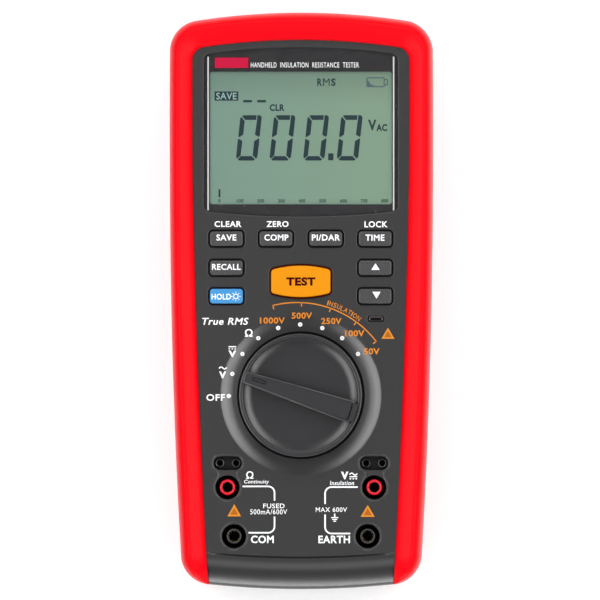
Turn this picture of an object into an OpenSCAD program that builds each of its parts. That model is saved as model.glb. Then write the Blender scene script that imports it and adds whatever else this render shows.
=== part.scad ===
// Handheld insulation resistance tester, lying on its back with the panel facing up.
// +Z leaves the panel, +Y points to the display end, and the origin is under the middle of the case.
// All sizes are in millimetres.

/* [Case] */
// Length of the case, end to end
case_l = 225; // [222:1:230]
// Largest width of the case
case_w = 102.6; // [102:0.2:104]
// Height where the front and rear halves meet
split_z = 24; // [22:0.5:26]
// Height of the flat front panel
panel_z = 47.5; // [47.5:0.1:47.7]
// Height of the soft rim round the panel
crown_z = 50.5; // [50:0.1:51.5]
// Thickness of the soft red overmould on the sides
skin_t = 3; // [2.8:0.1:3.2]
// Wall thickness of the two hard covers
wall = 2.2; // [2:0.1:2.4]
// Radius of the four corners seen from the front
corner_r = 12; // [11:0.5:13]
// Height of the rear cover's flat back
back_z = 1.6; // [1.5:0.1:1.7]

/* [Display] */
// Width of the clear window
lens_w = 75.2; // [74:0.2:75.6]
// Top edge of the window on the centre line
lens_top = 98.7; // [98:0.1:99]
// Bottom edge of the window on the centre line
lens_low = 33.1; // [32.6:0.1:34]
// Width of the visible liquid crystal area
lcd_w = 71.2; // [70:0.2:72]
// Upper edge of the visible liquid crystal area
lcd_top = 89.4; // [88:0.2:90]
// Lower edge of the visible liquid crystal area
lcd_low = 37.7; // [37.6:0.1:39]

/* [Keys] */
// Width of a small key
key_w = 12.9; // [12:0.1:13.4]
// Depth of a small key
key_d = 5.7; // [5.2:0.1:6]
// Gap round each key
key_gap = 0.5; // [0.4:0.05:0.6]
// How far a key stands out of the panel
key_rise = 1.5; // [1:0.1:2]
// How far a key moves when pressed
key_travel = 0.8; // [0.5:0.1:0.8]
// Distance from the centre line to the outer key columns
key_outer_x = 29; // [28.5:0.1:29.5]
// Distance from the centre line to the inner key columns
key_inner_x = 9.7; // [9.4:0.1:10]
// Places of the three key rows along the case, highest first
key_rows = [24.3, 12.95, 1.9];
// Width of the large test key
test_w = 23.2; // [22:0.2:24]
// Depth of the large test key at its middle
test_d = 12.3; // [12:0.1:12.5]
// Place of the test key along the case
test_y = 7.65; // [7.5:0.05:7.8]

/* [Range knob] */
// Place of the knob along the case
knob_y = -36.7; // [-37:0.1:-36.4]
// Radius of the knob
knob_r = 24; // [23.6:0.1:24]
// Height of the knob's grip bar
knob_z = 59; // [58:0.5:60]
// Direction of the pointer at rest, from +X
pointer_deg = 162; // [162:1:162]
// Width of the grip bar's taper, carried on to 30 from the axis on the pointer side
bar_tip_w = 4.5; // [4.2:0.1:5]
// Width of the grip bar's taper, carried on to 30 from the axis on the tail side
bar_tail_w = 9.4; // [8.6:0.1:9.8]
// Outer radius of the shallow dish round the knob
dish_r = 31.6; // [31:0.1:32]
// Radius of the knob's shaft
shaft_r = 6; // [5.5:0.1:6.5]
// Radial clearance of turning fits
run_fit = 0.05; // [0.03:0.01:0.08]

/* [Sockets] */
// Place of the red sockets, across and along
red_at = [28.6, -72.6];
// Place of the black sockets, across and along
black_at = [26.05, -91.65];
// Place of the two-pin probe sockets, across and along
probe_at = [28.5, -63.2];
// Radius of the bore that takes a 4 mm plug
bore_r = 2; // [2:0.01:2.05]
// Outer radius of the coloured sleeve in a socket
sleeve_r = 3.05; // [3:0.05:3.1]
// Radius of the ring-shaped recess round the sleeve
recess_r = 4.9; // [4.7:0.1:4.9]
// Length and width of a probe socket
probe_size = [11, 5.5];
// Distance between the two contacts of a probe socket
probe_pitch = 6.3; // [6:0.1:6.4]

/* [Batteries] */
// Length of an AA cell
cell_l = 50.5; // [49.5:0.1:50.5]
// Radius of an AA cell
cell_r = 7.1; // [6.9:0.05:7.2]
// Distance between neighbouring cells
cell_pitch = 15.2; // [15:0.1:15.2]
// Middle of the battery compartment along the case
cell_y = -67; // [-67.5:0.1:-66.5]

/* [Tilt stand] */
// Width of the stand
stand_w = 50; // [46:1:50]
// Length of the stand from its pin to its free end
stand_l = 74; // [70:1:74]
// Thickness of the stand's plate
stand_t = 2.6; // [2.2:0.1:2.8]
// Radius of the steel pin
pin_r = 1.25; // [1.2:0.05:1.3]
// Place of the pin along the case
pin_y = 46; // [45:1:46]
// Height of the pin
pin_z = 3.6; // [3.5:0.1:3.7]

/* [Hidden] */
$fn = 48;

red = [0.93, 0.07, 0.12];
grey = [0.28, 0.28, 0.285];
key_grey = [0.36, 0.36, 0.37];
black = [0.08, 0.08, 0.09];
board_green = [0.07, 0.3, 0.17];
steel = [0.72, 0.73, 0.75];
brass = [0.8, 0.63, 0.3];
eps = 0.01;

// Outline of the case: bowed ends, round corners and sides that narrow towards the sockets
end_y = case_l / 2;
top_bow_r = 267;
low_bow_r = 340;
waist_y = 67;
waist_run = 160;
waist_in = 4.07;
side_steps = 8;
// Panel outline inside the red rim
panel_half = 41.95;
panel_taper_y = 62;
panel_taper_run = 153;
panel_taper_in = 5.05;
panel_corner_r = 5;
rim_w = 11.1;
tail_half = 36.2;
crease_y = -99.4;
crease_deg = 28;

panel_under = panel_z - wall;
board_top = 39.2;
board_t = 1.6;
board_end_y = -59;
well_floor = 45;
well_under = 43;
screw_at = [[41.5, 84], [38.5, -76]];
boss_r = 2.9;
rear_boss_r = 3.9;
head_hole_r = 2.9;
foot_at = [[36, 96, 4], [37.6, -90, 3.2]];

lens_bow_r = 262;
lens_low_bow_r = 340;
lens_corner_r = 2.4;
lens_z = [46, 47.3];
mask_t = 0.1;

key_flange_z = [43.6, 44.6];
key_flange = 1.2;
test_bow_r = 41.6;
test_corner_r = 1.4;
test_rise = 2;
key_at = [
    [-key_outer_x, key_rows[0]], [-key_inner_x, key_rows[0]], [key_inner_x, key_rows[0]],
    [key_outer_x, key_rows[0]], [-key_outer_x, key_rows[1]], [-key_outer_x, key_rows[2]],
    [key_outer_x, key_rows[1]], [key_outer_x, key_rows[2]]
];

knob_rim_z = 56.5;
knob_floor_z = 49.5;
knob_rim_r = 22;
well_gap = 0.35;
rotor_r = 21;
rotor_z = [40.6, 42.6];
rotor_bore_r = 5;
detent_step = 18;
detent_r = 21.2;

cup_wall = 0.5;
block_z = [26, 47.8];
sleeve_z = [27.5, 46.9];
contact_z = [28, 44];
contact_wall = 0.5;
probe_floor_z = 41.4;
probe_tube_r = 1.65;
probe_bore_r = 1.1;

box_half_x = 30.6;
box_y = [cell_y - 28.5, cell_y + 28.5];
box_top = 20.2;
box_wall = 1.2;
cell_z = 12.6;
door_y = [-103.5, -36];
door_half_x = 33;
door_t = 1.8;
door_screw_at = [20, -100];
stand_z = 0.9;
stand_gap = 0.6;

// Points on an arc from angle a0 up to, but not including, a1
function arc(cx, cy, r, a0, a1, n) =
    [for (i = [0:n - 1]) let (a = a0 + (a1 - a0) * i / n) [cx + r * cos(a), cy + r * sin(a)]];

// A whole outline from its right half, which starts on the centre line, and its last point there
function closed(right, last) =
    concat(right, [[0, last]], [for (k = [len(right) - 1:-1:1]) [-right[k][0], right[k][1]]]);

// Half width of the case at a place along it
function case_half(y) = case_w / 2 - waist_in * pow(abs(y - waist_y) / waist_run, 2.2);

// Half width of the grey panel at a place along it
function panel_side(y) =
    panel_half - panel_taper_in * pow(max(panel_taper_y - y, 0) / panel_taper_run, 1.5);

// Outline of the case, moved inwards by i
function case_pts(i) =
    let (
        xt = case_half(end_y - 15) - corner_r,
        ct = end_y - top_bow_r,
        yt = ct + sqrt(pow(top_bow_r - corner_r, 2) - xt * xt),
        at = atan2(yt - ct, xt),
        xb = case_half(14 - end_y) - corner_r,
        cb = low_bow_r - end_y,
        yb = cb - sqrt(pow(low_bow_r - corner_r, 2) - xb * xb),
        ab = atan2(yb - cb, xb)
    )
    closed(concat(
        arc(0, cb, low_bow_r - i, -90, ab, 3),
        arc(xb, yb, corner_r - i, ab, 0, 5),
        [for (k = [0:side_steps - 1]) let (y = yb + (yt - yb) * k / side_steps) [case_half(y) - i, y]],
        arc(xt, yt, corner_r - i, 0, at, 5),
        arc(0, ct, top_bow_r - i, at, 90, 3)
    ), end_y - i);

// Outline of the grey panel, which runs out past the socket end
function panel_pts() =
    let (
        r = panel_corner_r,
        big = top_bow_r - rim_w,
        ct = end_y - top_bow_r,
        xt = panel_half - r,
        yt = ct + sqrt(pow(big - r, 2) - xt * xt),
        at = atan2(yt - ct, xt),
        low = -end_y - 5
    )
    closed(concat(
        [[0, low]],
        [for (k = [0:side_steps - 1]) let (y = low + (yt - low) * k / side_steps) [panel_side(y), y]],
        arc(xt, yt, r, 0, at, 4),
        arc(0, ct, big, at, 90, 3)
    ), end_y - rim_w);

// Outline with straight sides and bowed ends, grown by g
function bowed_pts(half, top, top_r, low, low_r, r, g) =
    let (
        x = half - r,
        ct = top - top_r,
        yt = ct + sqrt(pow(top_r - r, 2) - x * x),
        at = atan2(yt - ct, x),
        cb = low + low_r,
        yb = cb - sqrt(pow(low_r - r, 2) - x * x),
        ab = atan2(yb - cb, x)
    )
    closed(concat(
        arc(0, cb, low_r + g, -90, ab, 4),
        arc(x, yb, r + g, ab, 0, 4),
        arc(x, yt, r + g, 0, at, 4),
        arc(0, ct, top_r + g, at, 90, 4)
    ), top + g);

// Rectangle with round corners about a centre
function round_pts(c, w, d, r) = concat(
    arc(c[0] + w / 2 - r, c[1] - d / 2 + r, r, -90, 0, 4),
    arc(c[0] + w / 2 - r, c[1] + d / 2 - r, r, 0, 90, 4),
    arc(c[0] - w / 2 + r, c[1] + d / 2 - r, r, 90, 180, 4),
    arc(c[0] - w / 2 + r, c[1] - d / 2 + r, r, 180, 270, 4)
);

function lens_pts(g) =
    bowed_pts(lens_w / 2, lens_top, lens_bow_r, lens_low, lens_low_bow_r, lens_corner_r, g);

function test_pts(g) = bowed_pts(
    test_w / 2, test_y + test_d / 2, test_bow_r, test_y - test_d / 2, test_bow_r, test_corner_r, g);

// A straight slab of an outline from z0 to z1
module slab(points, z0, z1) translate([0, 0, z0]) linear_extrude(z1 - z0) polygon(points);

// A block from its low corner to its high corner
module block(low, high) translate(low) cube(high - low);

// A case outline that blends from inset i0 at z0 to inset i1 at z1
module tier(z0, i0, z1, i1) hull() {
    slab(case_pts(i0), z0, z0 + eps);
    slab(case_pts(i1), z1 - eps, z1);
}

// The same thing on both sides of the centre line
module both_sides() {
    children();
    mirror([1, 0, 0]) children();
}

// The socket end's middle, which the red skin leaves bare
module tail_zone() block([-tail_half, -end_y - 2, 0], [tail_half, -end_y + 12, crown_z + 2]);

module front_solid() {
    slab(case_pts(skin_t), split_z, panel_z);
    intersection() {
        slab(case_pts(0), split_z, panel_z);
        tail_zone();
    }
}

// Everything in front of the slope at the socket end
module tail_slope(z) translate([0, crease_y, z]) rotate([crease_deg, 0, 0])
    block([-case_w, -40, 0], [case_w, 0, 30]);

module probe_outline(g) {
    c = probe_at;
    round_half = (probe_size[0] - probe_size[1]) / 2;
    linear_extrude(panel_z) polygon(concat(
        arc(c[0] + round_half, c[1], probe_size[1] / 2 + g, -90, 90, 12),
        arc(c[0] - round_half, c[1], probe_size[1] / 2 + g, 90, 270, 12)
    ));
}

module front_cover() color(grey) difference() {
    union() {
        difference() {
            front_solid();
            difference() {
                slab(case_pts(skin_t + wall), split_z - 1, panel_under);
                tail_slope(panel_under - 0.6);
            }
        }
        translate([0, knob_y, well_under]) cylinder(h = panel_z - well_under - 1, r = knob_r + 2.4);
        both_sides() for (p = screw_at)
            translate([p[0], p[1], split_z]) cylinder(h = panel_under - split_z + 1, r = boss_r);
    }
    tail_slope(panel_z);
    slab(lens_pts(0.1), lens_z[0] - mask_t, panel_z + 1);
    block([-lcd_w / 2 - 0.6, lcd_low - 0.6, panel_under - 1],
        [lcd_w / 2 + 0.6, lcd_top + 0.6, panel_z]);
    for (c = key_at)
        slab(round_pts(c, key_w + 2 * key_gap, key_d + 2 * key_gap, 1.6), panel_under - 1, panel_z + 1);
    slab(test_pts(key_gap), panel_under - 1, panel_z + 1);
    translate([0, knob_y, 0]) {
        translate([0, 0, well_floor]) cylinder(h = 5, r = knob_r + well_gap, $fn = 96);
        cylinder(h = panel_z, r = shaft_r + run_fit);
        rotate_extrude($fn = 96)
            polygon([[knob_r, panel_z - 1.2], [dish_r, panel_z], [dish_r, panel_z + 1], [knob_r, panel_z + 1]]);
    }
    block([26.5, -8, panel_under - 1], [32, -6, panel_z + 1]);
    both_sides() {
        for (p = [red_at, black_at])
            translate([p[0], p[1], split_z]) cylinder(h = panel_z, r = recess_r + cup_wall);
        translate([0, 0, split_z]) probe_outline(cup_wall);
        for (p = screw_at) translate([p[0], p[1], split_z - 1]) cylinder(h = 15, r = 1.27);
    }
}

module front_overmould() color(red) difference() {
    union() {
        slab(case_pts(0), split_z, 40);
        tier(40, 0, 45.5, 1);
        tier(45.5, 1, 49, 3.2);
        tier(49, 3.2, crown_z, 6);
    }
    slab(case_pts(skin_t), split_z - 1, panel_z);
    slab(panel_pts(), panel_z - eps, crown_z + 1);
    tail_zone();
    tail_slope(crown_z + 1);
}

module rear_solid() {
    tier(back_z, 7.5, 6, skin_t);
    slab(case_pts(skin_t), 6, split_z);
    intersection() {
        union() {
            tier(back_z, 5, 8, 0);
            slab(case_pts(0), 8, split_z);
        }
        tail_zone();
    }
}

module rear_cover() color(grey) difference() {
    union() {
        difference() {
            rear_solid();
            slab(case_pts(skin_t + wall), 6, split_z + 1);
            slab(case_pts(skin_t + wall + 4), back_z + wall, 7);
        }
        block([-31, pin_y - stand_l - 3.5, back_z + 0.1], [31, pin_y + 9, 6.4]);
        block([-31, pin_y - 10, 6], [31, pin_y + 9, 9]);
        block([-36, door_y[0] - 1.5, back_z + 0.1], [36, door_y[1] + 2, 5.6]);
        both_sides() {
            for (p = screw_at)
                translate([p[0], p[1], back_z + 0.1]) cylinder(h = split_z - back_z - 0.1, r = rear_boss_r);
            translate([door_screw_at[0], door_screw_at[1], 5]) cylinder(h = 9, r = 3);
        }
    }
    // bed of the tilt stand, its finger notch and the pocket round its barrel
    block([-stand_w / 2 - stand_gap, pin_y - stand_l - 1, 0], [stand_w / 2 + stand_gap, pin_y - 8, 4.2]);
    block([-stand_w / 2 - stand_gap, pin_y - 8.5, 0], [stand_w / 2 + stand_gap, pin_y + 5, 7]);
    translate([-29.2, pin_y, pin_z]) rotate([0, 90, 0]) cylinder(h = 58.4, r = pin_r + 0.02);
    // battery opening with a rebate for the door
    block([-door_half_x - 0.3, door_y[0] - 0.3, 0], [door_half_x + 0.3, door_y[1] + 0.3, 4]);
    block([-box_half_x, box_y[0], 0], [box_half_x, box_y[1], 7]);
    both_sides() {
        translate([door_screw_at[0], door_screw_at[1], 0]) cylinder(h = 12, r = 1.02);
        for (p = screw_at) translate([p[0], p[1], 0]) {
            cylinder(h = 8, r = head_hole_r);
            cylinder(h = split_z + 1, r = 1.6);
        }
        for (f = foot_at) translate([f[0], f[1], 0]) cylinder(h = back_z + 0.8, r = f[2]);
    }
    difference() {
        slab(case_pts(skin_t + 0.6), split_z - 0.6, split_z + 1);
        slab(case_pts(skin_t + 1.6), split_z - 1, split_z + 2);
    }
}

module rear_overmould() color(red) difference() {
    union() {
        tier(back_z - 0.4, 6, 4, 2.4);
        tier(4, 2.4, 10, 0);
        slab(case_pts(0), 10, split_z);
    }
    rear_solid();
    slab(case_pts(9), 0, back_z + 0.1);
    tail_zone();
    both_sides() {
        for (p = screw_at) translate([p[0], p[1], 0]) {
            translate([0, 0, back_z + 0.1]) cylinder(h = split_z - 4, r = rear_boss_r + 0.02);
            cylinder(h = back_z + 1, r = head_hole_r + 0.1);
        }
        for (f = foot_at) translate([f[0], f[1], 0]) cylinder(h = back_z + 0.8, r = f[2] + 0.02);
    }
}

module case_seal() color(black) difference() {
    slab(case_pts(skin_t + 0.65), split_z - 0.55, split_z);
    slab(case_pts(skin_t + 1.55), split_z - 1, split_z + 1);
}

// A pan-head screw that points up from z0, with its head there
module screw(z0, head_r, head_h, shank_r, l) translate([0, 0, z0]) difference() {
    union() {
        cylinder(h = head_h, r = head_r);
        cylinder(h = head_h + l, r = shank_r);
    }
    for (a = [0, 90]) rotate(a) block([-head_r * 0.6, -0.35, -1], [head_r * 0.6, 0.35, head_h * 0.45]);
}

module case_screws() color(steel) both_sides() for (p = screw_at)
    translate([p[0], p[1], 0]) screw(5.8, 2.7, 2.2, pin_r, 26);

module rubber_feet() color(black) both_sides() for (f = foot_at)
    translate([f[0], f[1], 0]) cylinder(h = back_z + 0.8, r = f[2]);

module lcd_lens() color([0.8, 0.85, 0.85, 0.4]) slab(lens_pts(0), lens_z[0], lens_z[1]);

module lens_mask() color(black) difference() {
    slab(lens_pts(0), lens_z[0] - mask_t, lens_z[0]);
    slab(round_pts([0, (lcd_top + lcd_low) / 2], lcd_w, lcd_top - lcd_low, 1.2), lens_z[0] - 1, lens_z[0] + 1);
}

module lcd_glass() color([0.51, 0.63, 0.56]) block([-37, 36.2, 42.9], [37, 91.4, 45.2]);

module lcd_backlight() color([0.9, 0.93, 0.9]) block([-36.6, 39.5, 40.4], [36.6, 91.2, 42.8]);

module lcd_frame() color(black) difference() {
    block([-38.2, 34.4, board_top], [38.2, 93, 45.2]);
    block([-37.1, 36.1, board_top - 1], [37.1, 91.5, 46]);
}

module zebra_strip() color([0.75, 0.4, 0.45]) block([-34, 36.4, board_top], [34, 38.6, 42.8]);

module keypad_membrane() color([0.8, 0.8, 0.78]) {
    difference() {
        block([-37.5, -5, board_top], [37.5, 30, board_top + 1]);
        translate([0, knob_y, 0]) cylinder(h = 60, r = 26.5);
    }
    for (c = concat(key_at, [[0, test_y]]))
        translate([c[0], c[1], board_top + 0.5]) cylinder(h = 2.6, r = 2.3);
}

module status_window() color([0.15, 0.05, 0.05]) block([26.55, -7.95, panel_under], [31.95, -6.05, panel_z - 0.2]);

module status_led() color([0.9, 0.3, 0.2]) block([27.8, -8, board_top], [30.8, -6, board_top + 2]);

// One side's black socket moulding: two cups and the probe socket on a common foot
module socket_block() color(black) difference() {
    union() {
        for (p = [red_at, black_at])
            translate([p[0], p[1], block_z[0]]) cylinder(h = block_z[1] - block_z[0], r = recess_r + cup_wall - 0.02);
        translate([0, 0, 0.3]) intersection() {
            probe_outline(cup_wall - 0.02);
            block([0, -80, block_z[0]], [50, -50, panel_z]);
        }
        block([20, -95, block_z[0]], [35, -62, block_z[0] + 2]);
    }
    for (p = [red_at, black_at]) translate([p[0], p[1], 0]) {
        translate([0, 0, block_z[0] + 2]) cylinder(h = 30, r = recess_r);
        cylinder(h = 60, r = contact_wall + bore_r + 0.6);
    }
    translate([0, 0, probe_floor_z]) probe_outline(0);
    for (s = [-1, 1]) translate([probe_at[0] + s * probe_pitch / 2, probe_at[1], 34])
        cylinder(h = 20, r = probe_tube_r);
}

module socket_block_right() socket_block();
module socket_block_left() mirror([1, 0, 0]) socket_block();

// The coloured insulating sleeve in the middle of a socket
module sleeve(p, tint) color(tint) translate([p[0], p[1], 0]) difference() {
    union() {
        translate([0, 0, sleeve_z[0]]) cylinder(h = sleeve_z[1] - sleeve_z[0], r = sleeve_r);
        translate([0, 0, block_z[0] + 2]) cylinder(h = 1.4, r = recess_r - 0.1);
    }
    translate([0, 0, contact_z[0] - 2]) cylinder(h = contact_z[1] - contact_z[0] + 2.1, r = bore_r + contact_wall);
    cylinder(h = 60, r = bore_r + 0.05);
}

module sleeve_red_right() sleeve(red_at, red);
module sleeve_red_left() mirror([1, 0, 0]) sleeve(red_at, red);
module sleeve_black_right() sleeve(black_at, black);
module sleeve_black_left() mirror([1, 0, 0]) sleeve(black_at, black);

module jack_contacts() color(brass) both_sides() for (p = [red_at, black_at])
    translate([p[0], p[1], contact_z[0]]) difference() {
        cylinder(h = contact_z[1] - contact_z[0], r = bore_r + contact_wall);
        translate([0, 0, -1]) cylinder(h = 60, r = bore_r);
    }

module probe_contacts() color(brass) both_sides() for (s = [-1, 1])
    translate([probe_at[0] + s * probe_pitch / 2, probe_at[1], 34]) difference() {
        cylinder(h = probe_floor_z + 1.2 - 34, r = probe_tube_r - 0.02);
        translate([0, 0, 2]) cylinder(h = 20, r = probe_bore_r);
    }

module main_board() color(board_green) difference() {
    slab(case_pts(6.4), board_top - board_t, board_top);
    block([-60, -130, 0], [60, board_end_y, 60]);
    both_sides() translate([screw_at[0][0], screw_at[0][1], 0]) cylinder(h = 60, r = boss_r + 0.4);
}

// Things soldered under the main board hang down from here
board_low = board_top - board_t;

module processor_chips() color([0.1, 0.1, 0.11]) {
    block([-8, 62, board_low - 1.6], [6, 76, board_low]);
    block([16, 50, board_low - 1.4], [24, 56, board_low]);
    block([16, 64, board_low - 1.4], [24, 70, board_low]);
}

module hv_transformer() color([0.75, 0.62, 0.2]) {
    block([-30, 4, board_low - 16], [-8, 24, board_low]);
    block([-27, 1.5, board_low - 12], [-11, 26.5, board_low - 4]);
}

module hv_capacitors() color([0.1, 0.15, 0.45]) for (y = [6, 20])
    translate([18, y, board_low - 9.1]) rotate([0, 90, 0]) cylinder(h = 19, r = 5.5);

module range_relay() color([0.85, 0.85, 0.82]) block([-8, -32, board_low - 10], [8, -22, board_low]);

module buzzer() color(black) translate([0, 92, board_low - 7]) difference() {
    cylinder(h = 7, r = 7);
    translate([0, 0, -1]) cylinder(h = 3, r = 1.2);
}

fuse_at = [14, -46, board_low - 5];

module input_fuse() color([0.9, 0.9, 0.86]) translate(fuse_at) rotate([0, -90, 0]) cylinder(h = 32, r = 3.15);

module fuse_clips() color(steel) for (x = [-14, 10]) difference() {
    block([fuse_at[0] + x - 14, fuse_at[1] - 4, fuse_at[2] - 2], [fuse_at[0] + x - 9, fuse_at[1] + 4, board_low]);
    translate(fuse_at) rotate([0, -90, 0]) translate([0, 0, -1]) cylinder(h = 40, r = 3.17);
}

module detent_ring() color(steel) translate([0, knob_y, 40.4]) difference() {
    cylinder(h = 2.2, r = 25.4, $fn = 96);
    translate([0, 0, -1]) cylinder(h = 5, r = 23.2, $fn = 96);
    for (a = [0:detent_step:359]) rotate(a) translate([23.4, 0, -1]) cylinder(h = 5, r = 1.1, $fn = 16);
}

module battery_box() color([0.16, 0.16, 0.17]) difference() {
    block([-box_half_x - box_wall, box_y[0] - box_wall, 5.6], [box_half_x + box_wall, box_y[1] + box_wall, box_top + box_wall]);
    block([-box_half_x, box_y[0], 5], [box_half_x, box_y[1], box_top]);
}

// An AA cell along Y, with its button at the end that s points to
module aa_cell(n) {
    s = n % 2 == 0 ? 1 : -1;
    color([0.2, 0.2, 0.22]) translate([(n - 1.5) * cell_pitch, cell_y, cell_z]) rotate([-90 * s, 0, 0]) {
        translate([0, 0, -cell_l / 2]) cylinder(h = cell_l - 1, r = cell_r);
        cylinder(h = cell_l / 2, r = 2.7);
    }
}

module aa_cell_1() aa_cell(0);
module aa_cell_2() aa_cell(1);
module aa_cell_3() aa_cell(2);
module aa_cell_4() aa_cell(3);

// Spring contacts at the flat ends of the cells, as cones of three coils
module battery_springs() color(steel) for (n = [0:3]) {
    s = n % 2 == 0 ? 1 : -1;
    translate([(n - 1.5) * cell_pitch, cell_y - s * cell_l / 2, cell_z]) rotate([90 * s, 0, 0])
        for (k = [0:2]) translate([0, 0, 0.55 + k * 0.85]) rotate_extrude($fn = 24)
            translate([2.6 + k * 0.7, 0]) circle(r = 0.5, $fn = 8);
}

module battery_plates() color(steel) for (n = [0:3]) {
    x = (n - 1.5) * cell_pitch;
    block([x - 6, box_y[0] + 0.05, cell_z - 6], [x + 6, box_y[0] + 0.45, cell_z + 6]);
    block([x - 6, box_y[1] - 0.45, cell_z - 6], [x + 6, box_y[1] - 0.05, cell_z + 6]);
}

module battery_door() color(grey) difference() {
    union() {
        block([-door_half_x, door_y[0], back_z], [door_half_x, door_y[1], back_z + door_t]);
        for (x = [-18, 18]) block([x - 5, door_y[1] - 6, back_z + door_t - 0.1], [x + 5, door_y[1] - 4.6, 5]);
    }
    both_sides() translate([door_screw_at[0], door_screw_at[1], 0]) {
        cylinder(h = 10, r = 1.3);
        cylinder(h = back_z + 0.9, r = 2.6);
    }
    for (k = [0:4]) block([-14, -44 - k * 2.4, 0], [14, -43 - k * 2.4, back_z + 0.5]);
}

module door_seal() color(black) difference() {
    block([-door_half_x + 0.2, door_y[0] + 6.6, back_z + door_t], [door_half_x - 0.2, door_y[1] - 0.2, 3.95]);
    block([-door_half_x + 1.4, door_y[0] + 7.8, 0], [door_half_x - 1.4, door_y[1] - 1.4, 5]);
    for (x = [-18, 18]) block([x - 5.2, door_y[1] - 6.2, 0], [x + 5.2, door_y[1] - 4.4, 5]);
}

module door_screws() color(steel) both_sides()
    translate([door_screw_at[0], door_screw_at[1], 0]) screw(back_z + 0.1, 2.3, 0.8, 1, 7);

// The knob: a round body with two scoops that leave a tapered grip bar between them
module range_knob() color([0.22, 0.22, 0.225]) translate([0, knob_y, 0]) rotate(pointer_deg) {
    difference() {
        translate([0, 0, well_floor + 0.3]) rotate_extrude($fn = 96) polygon([
            [0, 0], [knob_r, 0], [knob_r, 4], [knob_rim_r + 0.6, knob_rim_z - well_floor - 1.3],
            [knob_rim_r, knob_rim_z - well_floor - 0.3], [0, knob_rim_z - well_floor - 0.3]]);
        intersection() {
            translate([0, 0, knob_floor_z]) cylinder(h = 20, r = knob_rim_r, $fn = 96);
            both_flanks() rotate([90, 0, 90]) translate([0, 0, -30]) linear_extrude(60) polygon([
                [0, knob_floor_z], [8, knob_floor_z], [knob_rim_r, knob_rim_z + 0.01],
                [knob_rim_r, 70], [0, 70]]);
        }
    }
    intersection() {
        cylinder(h = knob_z, r = knob_rim_r + 0.4, $fn = 96);
        slab([[-30, -bar_tail_w / 2], [-30, bar_tail_w / 2], [30, bar_tip_w / 2], [30, -bar_tip_w / 2]],
            knob_floor_z - 1, knob_z);
    }
    translate([0, 0, well_under - 2]) cylinder(h = 5, r = shaft_r);
    translate([0, 0, rotor_z[0]]) cylinder(h = 5, r = rotor_bore_r);
}

// The same thing on both flanks of the grip bar
module both_flanks() {
    children();
    mirror([0, 1, 0]) children();
}

module switch_rotor() color([0.85, 0.83, 0.76]) translate([0, knob_y, 0]) rotate(pointer_deg) difference() {
    translate([0, 0, rotor_z[0]]) {
        cylinder(h = well_under - 2.4 - rotor_z[0] + 2, r = 14);
        cylinder(h = rotor_z[1] - rotor_z[0] - 0.6, r = rotor_r, $fn = 96);
        for (a = [90, 270]) rotate(a) block([12, -2.2, 0], [rotor_r - 0.2, 2.2, rotor_z[1] - rotor_z[0]]);
    }
    cylinder(h = 60, r = rotor_bore_r);
    translate([0, 0, well_under - 2]) cylinder(h = 20, r = shaft_r);
    for (a = [90, 270]) rotate(a) translate([15, 0, 41.6]) rotate([0, 90, 0]) cylinder(h = 10, r = 0.85);
}

module switch_wipers() color(brass) translate([0, knob_y, 0]) for (a = [30:60:359]) rotate(a) {
    block([9, -1.2, 40.3], [19, 1.2, rotor_z[0]]);
    for (x = [10, 17]) block([x, -1.2, 39.6], [x + 1.2, 1.2, 40.4]);
}

module detent_balls() color(steel) translate([0, knob_y, 0]) rotate(pointer_deg) for (a = [90, 270])
    rotate(a) translate([detent_r, 0, 41.6]) sphere(r = 0.8, $fn = 24);

module detent_springs() color(steel) translate([0, knob_y, 0]) rotate(pointer_deg) for (a = [90, 270])
    rotate(a) translate([15.2, 0, 41.6]) rotate([0, 90, 0]) difference() {
        cylinder(h = detent_r - 0.85 - 15.2, r = 0.75, $fn = 24);
        translate([0, 0, -1]) cylinder(h = 10, r = 0.45, $fn = 24);
    }

// A small key: a cap on a flange that stops it under the panel
module key(i, tint = key_grey) color(tint) {
    slab(round_pts(key_at[i], key_w, key_d, 1.2), key_flange_z[0], panel_z + key_rise);
    slab(round_pts(key_at[i], key_w + 2 * key_flange, key_d + 2 * key_flange, 1.2), key_flange_z[0], key_flange_z[1]);
}

module key_save() key(0);
module key_comp() key(1);
module key_pi_dar() key(2);
module key_time() key(3);
module key_recall() key(4);
module key_hold() key(5, [0.27, 0.62, 0.87]);
module key_up() key(6);
module key_down() key(7);

module key_test() color([0.98, 0.6, 0.06]) {
    slab(test_pts(0), key_flange_z[0], panel_z + test_rise);
    slab(test_pts(key_flange), key_flange_z[0], key_flange_z[1]);
}

module tilt_stand() color(grey) difference() {
    union() {
        block([-stand_w / 2, pin_y - stand_l, stand_z], [stand_w / 2, pin_y, stand_z + stand_t]);
        translate([-stand_w / 2, pin_y, pin_z]) rotate([0, 90, 0]) cylinder(h = stand_w, r = 2.5);
    }
    translate([-stand_w, pin_y, pin_z]) rotate([0, 90, 0]) cylinder(h = 2 * stand_w, r = pin_r + run_fit);
    block([-stand_w / 2 + 9, pin_y - stand_l + 14, 0], [stand_w / 2 - 9, pin_y - 14, 1.7]);
    block([-9, pin_y - stand_l - 1, 0], [9, pin_y - stand_l + 2.5, 6]);
}

module stand_pin() color(steel) translate([-29, pin_y, pin_z]) rotate([0, 90, 0]) cylinder(h = 58, r = pin_r);

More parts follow.
